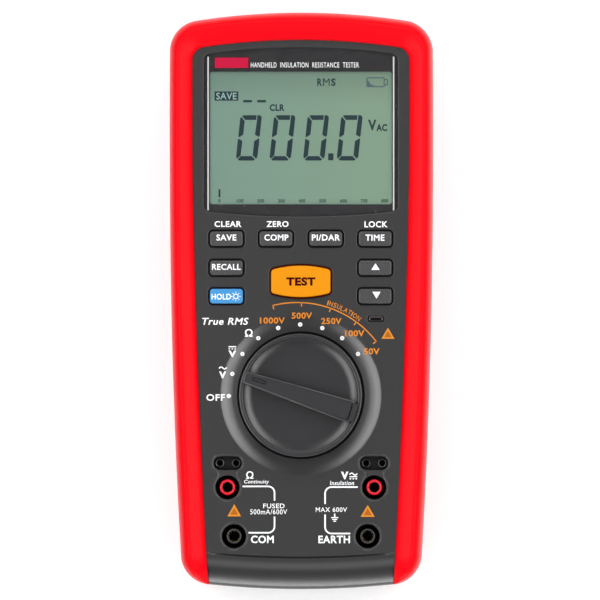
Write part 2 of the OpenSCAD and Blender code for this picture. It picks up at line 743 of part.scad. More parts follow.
front_cover();
front_overmould();
rear_cover();
rear_overmould();
case_seal();
case_screws();
rubber_feet();
lcd_lens();
lens_mask();
lcd_glass();
lcd_backlight();
lcd_frame();
zebra_strip();
keypad_membrane();
status_window();
status_led();
socket_block_left();
socket_block_right();
sleeve_red_left();
sleeve_red_right();
sleeve_black_left();
sleeve_black_right();
jack_contacts();
probe_contacts();
main_board();
processor_chips();
hv_transformer();
hv_capacitors();
range_relay();
buzzer();
input_fuse();
fuse_clips();
detent_ring();
battery_box();
aa_cell_1();
aa_cell_2();
aa_cell_3();
aa_cell_4();
battery_springs();
battery_plates();
battery_door();
door_seal();
door_screws();
range_knob();
switch_rotor();
switch_wipers();
detent_balls();
detent_springs();
key_save();
key_comp();
key_pi_dar();
key_time();
key_recall();
key_hold();
key_up();
key_down();
key_test();
tilt_stand();
stand_pin();
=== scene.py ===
"""Looks of the handheld insulation resistance tester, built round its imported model.

Lengths in the sections are millimetres and every mesh is written in metres, in the model's own frame:
+X to the right of the panel, +Y to the display end, +Z out of the panel.
"""
import math

import bmesh
import bpy
import numpy as np
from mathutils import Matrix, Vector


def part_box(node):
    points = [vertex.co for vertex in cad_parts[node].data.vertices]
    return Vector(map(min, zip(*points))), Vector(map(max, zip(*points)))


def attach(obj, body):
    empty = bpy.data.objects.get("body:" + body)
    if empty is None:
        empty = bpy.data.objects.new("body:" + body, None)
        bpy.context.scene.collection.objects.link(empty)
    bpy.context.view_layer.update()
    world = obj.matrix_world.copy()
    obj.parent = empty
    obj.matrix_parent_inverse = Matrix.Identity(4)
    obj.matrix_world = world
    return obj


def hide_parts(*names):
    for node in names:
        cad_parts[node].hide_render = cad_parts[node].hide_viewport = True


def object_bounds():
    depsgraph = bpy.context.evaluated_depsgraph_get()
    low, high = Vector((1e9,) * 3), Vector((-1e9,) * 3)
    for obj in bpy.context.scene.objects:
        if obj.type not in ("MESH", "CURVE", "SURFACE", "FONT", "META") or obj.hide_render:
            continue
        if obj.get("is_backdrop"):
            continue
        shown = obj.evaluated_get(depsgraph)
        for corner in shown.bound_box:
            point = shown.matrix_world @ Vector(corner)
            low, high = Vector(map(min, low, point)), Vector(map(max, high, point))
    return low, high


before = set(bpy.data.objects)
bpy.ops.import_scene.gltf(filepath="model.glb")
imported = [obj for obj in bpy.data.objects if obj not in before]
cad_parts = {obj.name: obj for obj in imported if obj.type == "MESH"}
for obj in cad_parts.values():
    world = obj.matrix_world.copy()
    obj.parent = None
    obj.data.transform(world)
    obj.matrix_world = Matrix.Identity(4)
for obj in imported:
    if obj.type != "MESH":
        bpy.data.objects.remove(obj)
cad_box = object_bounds()


# ---------------------------------------------------------------- studio
# A pale paper floor in a soft white room, two long soft boxes high on the left and right with faint walls
# beyond them, and broad boxes past the display end and the socket end.
# The camera looks almost straight down through a long lens, so the case shows hardly any perspective.
MM = 0.001
PANEL_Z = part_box("front_cover")[1].z / MM
FIELD = 233.8
CAMERA_UP = 9000.0
SENSOR = 36.0
AIM = (-0.33, 0.4)
LEAN_IN = math.radians(0.8)
ROOM_WHITE = (0.95, 0.97, 1.0, 1)
FLOOR_HALF, FLOOR_DROP = 12.0, 0.0002


def ranged(tree, value, smooth=False, **limits):
    """A value taken from the range From_Min..From_Max to To_Min..To_Max, each 0..1 unless it is given."""
    node = tree.nodes.new("ShaderNodeMapRange")
    node.interpolation_type = "SMOOTHSTEP" if smooth else "LINEAR"
    for limit, number in limits.items():
        node.inputs[limit.replace("_", " ")].default_value = number
    tree.links.new(value, node.inputs["Value"])
    return node.outputs["Result"]


world = bpy.data.worlds.new("studio")
bpy.context.scene.world = world
world.use_nodes = True
room = world.node_tree
way_up = room.nodes.new("ShaderNodeSeparateXYZ")
room.links.new(room.nodes.new("ShaderNodeTexCoord").outputs["Generated"], way_up.inputs["Vector"])
glow = ranged(room, way_up.outputs["Z"], From_Max=0.4, To_Min=0.85, To_Max=0.06)
room.links.new(glow, room.nodes["Background"].inputs["Strength"])
room.nodes["Background"].inputs["Color"].default_value = ROOM_WHITE
bpy.context.scene.view_settings.view_transform = "Standard"

camera = bpy.data.objects.new("camera", bpy.data.cameras.new("camera"))
bpy.context.scene.collection.objects.link(camera)
sideways = CAMERA_UP * math.tan(LEAN_IN)
camera.location = ((AIM[0] + sideways) * MM, AIM[1] * MM, (PANEL_Z + CAMERA_UP) * MM)
camera.rotation_euler.y = LEAN_IN
camera.data.sensor_width = SENSOR
camera.data.lens = SENSOR * CAMERA_UP / FIELD
camera.data.clip_end = 50
bpy.context.scene.camera = camera


def soft_box(name, place, size, radiance):
    """A rectangular light of a size in metres, facing the object; power is pi times area times radiance."""
    light = bpy.data.lights.new(name, "AREA")
    light.shape = "RECTANGLE"
    light.size, light.size_y = size
    light.energy = math.pi * size[0] * size[1] * radiance
    lamp = bpy.data.objects.new(name, light)
    lamp.location = place
    x, y, z = place
    lamp.rotation_euler = (-math.atan2(y, z), math.atan2(x, math.hypot(y, z)), 0)
    bpy.context.scene.collection.objects.link(lamp)


for name, side in (("left", -1), ("right", 1)):
    soft_box("strip_" + name, (side * 0.5, 0, 1.3), (0.4, 1.2), 6.7)
    soft_box("wall_" + name, (side * 1.7, 0, 0.8), (1.2, 2.4), 0.45)
soft_box("box_top", (0, 1.3, 1.25), (1.7, 0.7), 4.4)
soft_box("box_low", (0, -1.15, 1.25), (1.4, 0.5), 1.8)
soft_box("fringe_low", (0, -2.4, 0.2), (1.8, 0.3), 13.0)

floor_mesh = bpy.data.meshes.new("floor")
floor_corners = np.array([(-1, -1, 0), (1, -1, 0), (1, 1, 0), (-1, 1, 0)]) * FLOOR_HALF
floor_mesh.from_pydata(floor_corners, [], [(0, 1, 2, 3)])
floor = bpy.data.objects.new("floor", floor_mesh)
floor.location.z = -FLOOR_DROP
bpy.context.scene.collection.objects.link(floor)
paper = bpy.data.materials.new("paper")
paper.use_nodes = True
sheet = paper.node_tree.nodes["Principled BSDF"].inputs
for socket, value in (("Base Color", (0.82, 0.82, 0.82, 1)), ("Roughness", 0.9),
                      ("Emission Color", (1, 1, 1, 1)), ("Emission Strength", 0.3)):
    sheet[socket].default_value = value
floor_mesh.materials.append(paper)
floor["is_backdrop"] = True


# ---------------------------------------------------------------- red overmould, front half
# A soft red thermoplastic skin, moulded over the sides and the rim of the hard front cover.
# It runs from the socket end round the display end and back, and its crown slopes in to the panel.
SPLIT = 24.0
SKIN = 3.0
END_Y = (cad_box[1].y - cad_box[0].y) / MM / 2
CASE_HALF = (cad_box[1].x - cad_box[0].x) / MM / 2
TOP_BOW, LOW_BOW, CORNER = 267.0, 340.0, 12.0
CREASE_Y = -99.4
TAIL_HALF = 36.2
RAISE = 3.0
WIDEST_Y, CASE_NARROWS = 67.0, 4.07
PANEL_HALF, STRAIGHT_Y, PANEL_NARROWS = 41.95, 62.0, 5.05
PANEL_CORNER, PANEL_INSET, PANEL_END_Y = 5.0, 11.1, -110.45
CORNER_STEPS, SIDE_STEPS, END_STEPS = 18, 44, 14
TONE_SCALE = 60


def blended(tree, factor, a, b, way="MIX"):
    """A colour between a and b by a factor; each of them is a number, a colour or another node's output."""
    node = tree.nodes.new("ShaderNodeMix")
    node.data_type = "RGBA"
    node.blend_type = way
    for socket, value in (("Factor", factor), ("A", a), ("B", b)):
        if isinstance(value, bpy.types.NodeSocket):
            tree.links.new(value, node.inputs[socket])
        else:
            node.inputs[socket].default_value = value
    return node.outputs["Result"]


def moulded(name, colour, rough, grain=0.35, bump=0.12, tint=0.05, rough_var=0.08, **sockets):
    """A moulded plastic or rubber: fine noise of a grain in mm for bump and gloss, broad noise for tone."""
    mat = bpy.data.materials.new(name)
    mat.use_nodes = True
    tree = mat.node_tree
    nodes, links = tree.nodes, tree.links
    shader = nodes["Principled BSDF"]
    place = nodes.new("ShaderNodeTexCoord").outputs["Object"]
    fine = nodes.new("ShaderNodeTexNoise")
    fine.inputs["Scale"].default_value = 1 / (grain * MM)
    fine.inputs["Detail"].default_value = 3
    broad = nodes.new("ShaderNodeTexNoise")
    broad.inputs["Scale"].default_value = TONE_SCALE
    broad.inputs["Detail"].default_value = 4
    deep = (*[c * (1 - tint) for c in colour], 1)
    light = (*[min(1, c * (1 + tint)) for c in colour], 1)
    tone = blended(tree, broad.outputs["Fac"], deep, light)
    gloss = ranged(tree, fine.outputs["Fac"], To_Min=rough - rough_var, To_Max=rough + rough_var)
    bumps = nodes.new("ShaderNodeBump")
    bumps.inputs["Strength"].default_value = bump
    bumps.inputs["Distance"].default_value = grain * 0.3 * MM
    links.new(place, fine.inputs["Vector"])
    links.new(place, broad.inputs["Vector"])
    links.new(tone, shader.inputs["Base Color"])
    links.new(gloss, shader.inputs["Roughness"])
    links.new(fine.outputs["Fac"], bumps.inputs["Height"])
    links.new(bumps.outputs["Normal"], shader.inputs["Normal"])
    for socket, value in sockets.items():
        shader.inputs[socket.replace("_", " ")].default_value = value
    return mat


def grid(points, wrap=False):
    """Points on a grid and the quads between them; wrap joins the last column to the first."""
    points = np.asarray(points, float)
    rows, cols = points.shape[:2]
    near = np.arange(cols if wrap else cols - 1)
    far = (near + 1) % cols
    start = np.arange(rows - 1)[:, None] * cols
    quads = np.stack([start + near, start + far, start + cols + far, start + cols + near], -1)
    return points.reshape(-1, 3), quads.reshape(-1, 4).tolist()


def carried(sections):
    """Closed cross-sections at the stations of an open path, with a face over the first and the last."""
    points, faces = grid(sections, wrap=True)
    stations, corners = np.asarray(sections).shape[:2]
    last = (stations - 1) * corners
    return points, faces + [list(range(corners)), list(range(last, last + corners))]


def piece(name, parts, material, body, replaces=(), sharp=34):
    """One object from parts of (points in mm, faces): merged, turned outwards, smooth below an angle."""
    mesh = bpy.data.meshes.new(name)
    points, faces, count = [], [], 0
    for part_points, part_faces in parts:
        points.append(part_points)
        faces += [[count + i for i in face] for face in part_faces]
        count += len(part_points)
    mesh.from_pydata(np.concatenate(points) * MM, [], faces)
    shape = bmesh.new()
    shape.from_mesh(mesh)
    bmesh.ops.remove_doubles(shape, verts=shape.verts, dist=1e-6)
    bmesh.ops.recalc_face_normals(shape, faces=shape.faces)
    shape.to_mesh(mesh)
    shape.free()
    mesh.shade_smooth()
    mesh.set_sharp_from_angle(angle=math.radians(sharp))
    mesh.materials.append(material)
    obj = bpy.data.objects.new(name, mesh)
    bpy.context.scene.collection.objects.link(obj)
    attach(obj, body)
    if replaces:
        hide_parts(*replaces)
    return obj


def lifted(line, z):
    """A plan line at a height: one z for the whole line, or one for each of its points."""
    return np.column_stack([line, np.broadcast_to(z, len(line))])


def arc(cx, cy, r, a0, a1, n):
    """Points of a circular arc between two angles in degrees, both ends included."""
    a = np.radians(np.linspace(a0, a1, n))
    return np.stack([cx + r * np.cos(a), cy + r * np.sin(a)], -1)


def case_half(y):
    """Half width of the case: it falls off from its widest place with the power 2.2 of the distance."""
    return CASE_HALF - CASE_NARROWS * (np.abs(y - WIDEST_Y) / 160) ** 2.2


def panel_half(y):
    """Half width of the grey panel: it falls off towards the sockets with the power 1.5 of the distance."""
    return PANEL_HALF - PANEL_NARROWS * (np.maximum(STRAIGHT_Y - y, 0) / 153) ** 1.5


def mirrored(right):
    """The whole line from its right half, which ends on the centre line."""
    left = right[-2::-1] * np.array([-1, 1])
    return np.concatenate([right, left])


def corner_places():
    """Centres of the round corners, set in from the side and tangent to the bowed ends, and of the bows."""
    xt = case_half(END_Y - 15) - CORNER
    ct = END_Y - TOP_BOW
    yt = ct + math.sqrt((TOP_BOW - CORNER) ** 2 - xt**2)
    xb = case_half(14 - END_Y) - CORNER
    cb = LOW_BOW - END_Y
    yb = cb - math.sqrt((LOW_BOW - CORNER) ** 2 - xb**2)
    return xt, yt, ct, xb, yb, cb


def rim_line(inset):
    """The case's outline moved inwards, from the right tail round the display end to the left tail."""
    xt, yt, ct, xb, yb, cb = corner_places()
    at = math.degrees(math.atan2(yt - ct, xt))
    ab = math.degrees(math.atan2(yb - cb, xb))
    y = np.linspace(yb, yt, SIDE_STEPS)[1:-1]
    right = np.concatenate([
        arc(xb, yb, CORNER - inset, ab, 0, CORNER_STEPS),
        np.stack([case_half(y) - inset, y], -1),
        arc(xt, yt, CORNER - inset, 0, at, CORNER_STEPS),
        arc(0, ct, TOP_BOW - inset, at, 90, END_STEPS)[1:],
    ])
    return mirrored(right)


def panel_line(grow=0.0):
    """The edge of the grey panel, at the same stations as rim_line."""
    xt, yt, ct, xb, yb, cb = corner_places()
    radius, bow = PANEL_CORNER + grow, TOP_BOW - PANEL_INSET + grow
    px = PANEL_HALF - PANEL_CORNER
    py = ct + math.sqrt((bow - radius) ** 2 - px**2)
    at = math.degrees(math.atan2(py - ct, px))
    y = yb + (np.linspace(yb, yt, SIDE_STEPS)[1:-1] - yb) * (py - yb) / (yt - yb)
    tail = np.linspace(PANEL_END_Y, yb, CORNER_STEPS)
    right = np.concatenate([
        np.stack([panel_half(tail) + grow, tail], -1),
        np.stack([panel_half(y) + grow, y], -1),
        arc(px, py, radius, 0, at, CORNER_STEPS),
        arc(0, ct, bow, at, 90, END_STEPS)[1:],
    ])
    return mirrored(right)


def fall(past):
    """How far the grey face has fallen past its crease: a slope and the square of the distance."""
    return 0.1 * past + 0.036 * past**2


def panel_height(y):
    """Height of the grey face: level as far as the crease, and falling past it."""
    return PANEL_Z - fall(np.maximum(CREASE_Y - y, 0))


roll = np.radians(np.linspace(0, 90, 11))
crown = np.array(
    [(0.035, SPLIT + 0.12), (0.012, SPLIT + 0.2), (0, SPLIT + 0.5), (0, 32.0)]
    + [(0.33 * (1 - math.cos(a)) ** 1.1, 40 + 10.5 * math.sin(a)) for a in roll]
    + [(0.42, 50.42), (0.55, 50.15), (0.7, 49.78), (0.8, 49.5), (0.86, 49.3), (0.91, 49.05)]
    + [(0.945, 48.7), (0.965, 48.2), (0.972, 47.6), (0.972, 47.3)]
)
outer, inner, hidden = rim_line(0), panel_line(), rim_line(SKIN)
spot = outer[:, None] + (inner - outer)[:, None] * crown[None, :, :1]
width = np.linalg.norm(inner - outer, axis=1)[:, None]
top = panel_height(spot[..., 1]) + RAISE * np.clip(width / 9, 0, 1) ** 0.6
height = SPLIT + (crown[None, :, 1] - SPLIT) * (top - SPLIT) / (PANEL_Z + RAISE - SPLIT)
shown = np.concatenate([spot, height[..., None]], -1)
floor_z = np.minimum(panel_height(hidden[:, 1]) - 0.2, shown[:, -1, 2])
back = np.stack([lifted(hidden, floor_z), lifted(hidden, SPLIT + 0.12)], 1)
RED = moulded("overmould_red", (0.72, 0.0008, 0.006), 0.33, grain=0.5, bump=0.06, tint=0.02,
              rough_var=0.03, Specular_IOR_Level=0.06)
piece("front_skin", [carried(np.concatenate([shown, back], 1))], RED, "case",
      ["front_overmould"])


# ---------------------------------------------------------------- red overmould, rear half
# The same skin on the rear cover. It rolls under the case and ends in a flat lip on the back.
# A fine parting line runs between the two halves.
under = np.concatenate([
    [(0.3, SPLIT - 0.12), (0.1, SPLIT - 0.2), (0, SPLIT - 0.5), (0, 16)],
    np.stack([6.4 * (1 - np.cos(roll)), 12 - 10.8 * np.sin(roll)], -1),
    [(8.8, 1.2), (9, 1.35), (9, 1.75), (7.4, 1.75), (3.05, 6), (3, SPLIT - 0.12)],
])
sections = np.stack([lifted(rim_line(i), z) for i, z in under], 1)
piece("rear_skin", [carried(sections)], RED, "case", ["rear_overmould"])


# ---------------------------------------------------------------- front cover
# The hard grey cover, moulded in glass-filled nylon with a fine spark-eroded texture.
# Its panel has a rimmed opening for each key, a shallow dish and a well for the knob, and low raised lands
# round the sockets. Past a crease it falls away to the socket end, and the dish is painted paler on its left
# and right flanks: a painted highlight where they catch the side lights.
PLATE = 2.2
LOWER_Z = PANEL_Z - PLATE
GREY = moulded("cover_grey", (0.0255, 0.025, 0.0255), 0.24, grain=0.28, bump=0.2, tint=0.06, rough_var=0.05)
# painted highlight: the dish's left and right flanks are mixed towards this paler grey, where they catch the
# side lights
DISH_HIGHLIGHT_GREY = (0.068, 0.068, 0.069, 1)
KNOB_AT = (0.0, -36.7)
tree = GREY.node_tree
place = tree.nodes["Texture Coordinate"].outputs["Object"]
away = tree.nodes.new("ShaderNodeVectorMath")
away.operation = "DISTANCE"
away.inputs[1].default_value = (KNOB_AT[0] * MM, KNOB_AT[1] * MM, PANEL_Z * MM)
tree.links.new(place, away.inputs[0])
in_dish = ranged(tree, away.outputs["Value"], smooth=True, From_Min=31.8 * MM, From_Max=29.5 * MM)
split = tree.nodes.new("ShaderNodeSeparateXYZ")
tree.links.new(place, split.inputs["Vector"])
beside = tree.nodes.new("ShaderNodeMath")
beside.operation = "ABSOLUTE"
tree.links.new(split.outputs["X"], beside.inputs[0])
flank = ranged(tree, beside.outputs["Value"], smooth=True, From_Min=14 * MM, From_Max=27 * MM)
flank_highlight = tree.nodes.new("ShaderNodeMath")
flank_highlight.operation = "MULTIPLY"
tree.links.new(in_dish, flank_highlight.inputs[0])
tree.links.new(flank, flank_highlight.inputs[1])
base = tree.nodes["Principled BSDF"].inputs["Base Color"]
tree.links.new(blended(tree, flank_highlight.outputs["Value"], base.links[0].from_socket, DISH_HIGHLIGHT_GREY), base)
DISH_R, SHAFT_HOLE = 31.6, 6.05
ROUND, SMALL_ROUND = 96, 64


def round_rect(cx, cy, w, d, r, grow=0.0, n=7):
    """Rectangle with round corners, grown outwards."""
    r, x, y = r + grow, w / 2 - r, d / 2 - r
    return np.concatenate([
        arc(cx + x, cy - y, r, -90, 0, n), arc(cx + x, cy + y, r, 0, 90, n),
        arc(cx - x, cy + y, r, 90, 180, n), arc(cx - x, cy - y, r, 180, 270, n),
    ])


def bowed(half, top_y, top_r, low_y, low_r, r, grow=0.0):
    """Outline with straight sides, bowed ends and round corners, grown outwards."""
    x = half - r
    ct, cb = top_y - top_r, low_y + low_r
    yt, yb = ct + math.sqrt((top_r - r) ** 2 - x**2), cb - math.sqrt((low_r - r) ** 2 - x**2)
    at, ab = math.degrees(math.atan2(yt - ct, x)), math.degrees(math.atan2(yb - cb, x))
    right = np.concatenate([
        arc(0, cb, low_r + grow, -90, ab, 12)[:-1], arc(x, yb, r + grow, ab, 0, 8),
        arc(x, yt, r + grow, 0, at, 8), arc(0, ct, top_r + grow, at, 90, 12)[1:],
    ])
    return np.concatenate([right, right[-2:0:-1] * np.array([-1, 1])])


def circle(cx, cy, r, n=ROUND):
    """A full circle of n points."""
    return arc(cx, cy, r, 0, 360, n + 1)[:-1]


def rings(outline, profile):
    """A closed outline carried up a profile of (growth, height)."""
    return grid([lifted(outline(g), z) for g, z in profile], wrap=True)


def turned(cx, cy, profile, n=ROUND):
    """A profile of (radius, height) turned round an upright axis; a radius of 0 closes on the axis."""
    return grid([lifted(circle(cx, cy, max(r, 1e-4), n), z) for r, z in profile], wrap=True)


def sheet_with_holes(loops, z):
    """A level face inside the first loop and outside the others; points that a loop repeats are left out."""
    loops = [np.asarray(loop, float) for loop in loops]
    loops = [loop[np.linalg.norm(loop - np.roll(loop, 1, axis=0), axis=1) > 1e-4] for loop in loops]
    edges = []
    for loop in loops:
        near = np.arange(len(loop)) + len(edges)
        edges += np.stack([near, np.roll(near, -1)], -1).tolist()
    mesh = bpy.data.meshes.new("sheet")
    mesh.from_pydata(lifted(np.concatenate(loops), z), edges, [])
    shape = bmesh.new()
    shape.from_mesh(mesh)
    bmesh.ops.triangle_fill(shape, use_beauty=True, use_dissolve=False, edges=shape.edges)
    shape.to_mesh(mesh)
    shape.free()
    points = np.empty(len(mesh.vertices) * 3)
    mesh.vertices.foreach_get("co", points)
    faces = [list(face.vertices) for face in mesh.polygons]
    bpy.data.meshes.remove(mesh)
    return points.reshape(-1, 3), faces


def box_mm(node):
    """Centre and size of a CAD node's box, in mm."""
    low, high = (np.array(v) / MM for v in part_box(node))
    return (low + high) / 2, high - low


KEYS = ["save", "comp", "pi_dar", "time", "recall", "hold", "up", "down"]
FLANGE, GAP = 1.2, 0.6
KEY_SIZE = box_mm("key_save")[1] - 2 * FLANGE
TEST_SIZE = box_mm("key_test")[1] - 2 * FLANGE
TEST_BOW, TEST_CORNER, KEY_CORNER = 41.6, 1.4, 1.2
LENS_TOP_BOW, LENS_LOW_BOW, LENS_CORNER = 262, 340, 2.4


def key_outline(name, extra=0.0):
    """Outline of one key as a function of growth."""
    mid = box_mm("key_" + name)[0]
    if name == "test":
        top, low = mid[1] + TEST_SIZE[1] / 2, mid[1] - TEST_SIZE[1] / 2
        return lambda g: bowed(TEST_SIZE[0] / 2, top, TEST_BOW, low, TEST_BOW, TEST_CORNER, g + extra)
    return lambda g: round_rect(mid[0], mid[1], KEY_SIZE[0], KEY_SIZE[1], KEY_CORNER, g + extra)


def lens_outline(g):
    """Outline of the clear window."""
    mid, size = box_mm("lcd_lens")
    top, low = mid[1] + size[1] / 2, mid[1] - size[1] / 2
    return bowed(size[0] / 2, top, LENS_TOP_BOW, low, LENS_LOW_BOW, LENS_CORNER, g)


LAMP_MID, LAMP_SIZE = box_mm("status_window")
RED_AT, BLACK_AT, PROBE_AT = (28.6, -72.6), (26.05, -91.65), (28.5, -63.2)
PROBE_HALF, PROBE_LONG = 2.7, 2.78
NECK_HALF, NECK_BLEND = 2.9, 0.9
CUP_R = 4.72


def lamp_outline(g):
    """The slot of the indicator window."""
    return round_rect(LAMP_MID[0], LAMP_MID[1], LAMP_SIZE[0] + 1.1, LAMP_SIZE[1] + 0.6, 1.15, g)


def stadium(side, g=0.0):
    """The oblong probe socket on one side of the panel."""
    x, y = side * PROBE_AT[0], PROBE_AT[1]
    r = PROBE_HALF + g
    return np.concatenate([arc(x + PROBE_LONG, y, r, -90, 90, 17), arc(x - PROBE_LONG, y, r, 90, 270, 17)])


def keyhole(side, g=0.0, n=180):
    """Outline at growth g round a jack and its probe socket. It is where the distance to them and to a narrow
    neck between them, blended where they meet, comes to g: each ray from the waist halves its way to it."""
    mid = np.array([side * RED_AT[0], -67.2])
    a = np.linspace(0, 2 * np.pi, n, endpoint=False)
    ray = np.stack([np.cos(a), np.sin(a)], -1)
    low, high = np.zeros(n), np.full(n, 20.0)
    for _ in range(26):
        reach = (low + high) / 2
        p = np.abs(mid + ray * reach[:, None])
        jack = np.hypot(p[:, 0] - RED_AT[0], p[:, 1] + RED_AT[1]) - CUP_R
        long_x = np.maximum(np.abs(p[:, 0] - PROBE_AT[0]) - PROBE_LONG, 0)
        probe = np.hypot(long_x, p[:, 1] + PROBE_AT[1]) - PROBE_HALF
        neck = np.maximum(np.abs(p[:, 0] - RED_AT[0]) - NECK_HALF, np.abs(p[:, 1] + mid[1]) - 3.0)
        reached = jack
        for other in (probe, neck):
            near = np.clip(0.5 + 0.5 * (other - reached) / NECK_BLEND, 0, 1)
            reached = other + (reached - other) * near - NECK_BLEND * near * (1 - near)
        inside = reached < g
        low, high = np.where(inside, reach, low), np.where(inside, high, reach)
    return mid + ray * low[:, None]


RIM = [(0.42, PANEL_Z), (0.3, PANEL_Z), (0.16, PANEL_Z - 0.03), (0.05, PANEL_Z - 0.13),
       (0, PANEL_Z - 0.3), (0, LOWER_Z)]
LAND_Z = PANEL_Z + 0.3
LAND = [(0.95, PANEL_Z), (0.86, PANEL_Z), (0.8, PANEL_Z + 0.04), (0.72, PANEL_Z + 0.22),
        (0.6, LAND_Z - 0.02), (0.46, LAND_Z), (0.32, LAND_Z)]
LAND_HOLE = [(0.22, LAND_Z), (0.14, LAND_Z), (0.06, LAND_Z - 0.05), (0.01, LAND_Z - 0.2),
             (0, LAND_Z - 0.5), (0, LOWER_Z)]
holes, parts = [], []
for name in KEYS + ["test"]:
    around = key_outline(name, GAP)
    parts.append(rings(around, RIM))
    holes.append((around(RIM[0][0]), around(0)))
parts.append(rings(lamp_outline, RIM))
holes.append((lamp_outline(RIM[0][0]), lamp_outline(0)))
for side in (-1, 1):
    def land(g, side=side):
        return keyhole(side, g)

    def cup(g, side=side):
        return circle(side * RED_AT[0], RED_AT[1], CUP_R + g, SMALL_ROUND)

    def slot(g, side=side):
        return stadium(side, g)

    parts += [rings(land, LAND), rings(cup, LAND_HOLE), rings(slot, LAND_HOLE),
              sheet_with_holes([land(LAND[-1][0]), cup(LAND_HOLE[0][0]), slot(LAND_HOLE[0][0])], LAND_Z)]
    holes.append((land(LAND[0][0]), None))
    holes += [(None, cup(0)), (None, slot(0))]

    def single(g, side=side):
        return circle(side * BLACK_AT[0], BLACK_AT[1], CUP_R + g, SMALL_ROUND)

    parts.append(rings(single, LAND + LAND_HOLE))
    holes.append((single(LAND[0][0]), single(0)))

# window recess with its ledge, and the opening for the display with as many points as the window's outline
LEDGE_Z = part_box("lens_mask")[0].z / MM
RECESS = 0.22
OPEN_HALF, OPEN_TOP, OPEN_LOW = 36.2, 90.0, 37.1
opening = np.clip(lens_outline(0), [-OPEN_HALF, OPEN_LOW], [OPEN_HALF, OPEN_TOP])
window = [lifted(lens_outline(RECESS + g), z) for g, z in RIM[:5]]
window += [lifted(lens_outline(RECESS), LEDGE_Z), lifted(opening, LEDGE_Z), lifted(opening, LOWER_Z)]
parts.append(grid(window, wrap=True))
holes.append((lens_outline(RECESS + RIM[0][0]), opening))

# dish and well of the knob, with the hub under them
DISH_LOW, DISH_LIP, WELL_R, WELL_Z = 25.1, 0.8, 24.82, 43.5
HUB_R, HUB_TOP, HUB_LOW, HUB_OUT = 22.5, 45.0, 43.0, 26.4
dish_r = np.linspace(DISH_R, DISH_LOW, 24)
dish_lean = np.clip(5.4 + 2.3 * (dish_r - 25.5), 4.0, 12.3)
dish_lean *= np.clip((DISH_R - dish_r) / DISH_LIP, 0, 1)
dish_drop = np.cumsum(np.tan(np.radians(dish_lean))) * (dish_r[0] - dish_r[1])
dish_z = PANEL_Z - dish_drop[-1]
dish = [(DISH_R + 0.5, PANEL_Z), (DISH_R + 0.1, PANEL_Z)] + list(zip(dish_r, PANEL_Z - dish_drop))
dish += [(24.95, dish_z), (24.86, dish_z - 0.06), (WELL_R, dish_z - 0.2), (WELL_R, WELL_Z), (HUB_R, WELL_Z),
         (HUB_R, HUB_TOP), (SHAFT_HOLE, HUB_TOP), (SHAFT_HOLE, HUB_LOW), (HUB_OUT, HUB_LOW),
         (HUB_OUT, LOWER_Z)]
DISH_ROUND = 144
parts.append(turned(*KNOB_AT, dish, DISH_ROUND))
holes.append((circle(*KNOB_AT, DISH_R + 0.5, DISH_ROUND), circle(*KNOB_AT, HUB_OUT, DISH_ROUND)))


def crease(x):
    """The crease across the panel, bowed towards the socket end."""
    return CREASE_Y - 0.2 + np.asarray(x) ** 2 / 760


edge = panel_line(1.4)
edge = edge[edge[:, 1] > crease(edge[:, 0]) + 0.5]
ends = np.array([edge[0][0], edge[-1][0]])
across = np.linspace(ends[1], ends[0], 41)
edge = np.concatenate([edge, np.column_stack([across, crease(across)])])
parts.append(sheet_with_holes([edge] + [h[0] for h in holes if h[0] is not None], PANEL_Z))
parts.append(sheet_with_holes([edge] + [h[1] for h in holes if h[1] is not None], LOWER_Z))
parts.append(grid([lifted(edge, z) for z in (PANEL_Z, LOWER_Z)], wrap=True))

# walls inside the skin, screw bosses and the sloped tail that is bare of it
walls = [(SKIN, SPLIT + 0.1), (SKIN, 47.2), (SKIN + PLATE, 47.2), (SKIN + PLATE, SPLIT + 0.1)]
wall_lines = [(rim_line(inset), z) for inset, z in walls]
parts.append(carried(np.stack([lifted(line, np.minimum(z, panel_height(line[:, 1]) - 0.3))
                               for line, z in wall_lines], 1)))
BOSS_R, PILOT_R, PILOT_TOP = 2.9, 1.27, 38
boss = [(PILOT_R, SPLIT), (BOSS_R, SPLIT), (BOSS_R, LOWER_Z), (0, LOWER_Z), (0, PILOT_TOP),
        (PILOT_R, PILOT_TOP), (PILOT_R, SPLIT)]
for x, y in ((41.5, 84), (38.5, -76)):
    for side in (-1, 1):
        parts.append(turned(side * x, y, boss, 24))

CREASE_HALF, CREASE_DEEP, CREASE_WIDE = 37.4, 0.8, 0.58
share = np.concatenate([[0, 0.012, 0.024, 0.036], np.linspace(0.06, 0.9, 14),
                        [0.925, 0.945, 0.962, 0.977, 0.989, 0.997, 1.0, 1.0, 1.0]])
across = np.concatenate([np.linspace(-1, -0.96, 4), np.linspace(-0.94, 0.94, 41), np.linspace(0.96, 1, 4)])
across = across[:, None]
x = across * (CREASE_HALF + (TAIL_HALF - 0.1 - CREASE_HALF) * share)
end = LOW_BOW - END_Y - np.sqrt(LOW_BOW**2 - x**2) + 0.06
y = crease(x) + (end - crease(x)) * share
past = np.maximum(crease(x) - y, 0)
notch = CREASE_DEEP * np.sin(math.pi * np.clip(past / CREASE_WIDE, 0, 1)) ** 0.5 * (1 - np.abs(across) ** 5)
lip = np.concatenate([np.zeros(18), [0.03, 0.1, 0.22, 0.42, 0.75, 1.2, 1.9, 6.0, 0.0]])
z = PANEL_Z - notch - fall(past) - lip
z[:, -1] = SPLIT + 0.1
tail_out = np.stack([x, y, z], -1)
rear = tail_out[:, [-1, -2, -6, 14, 8, 0]]
rear[:, :, 1] += [PLATE, PLATE, PLATE, 1.0, 0.4, 0.0]
rear[:, :, 2] -= [0, 0, 2.0, PLATE, PLATE, PLATE]
parts.append(carried(np.concatenate([tail_out, rear], 1)))
piece("front_panel", parts, GREY, "case", ["front_cover"], sharp=40)
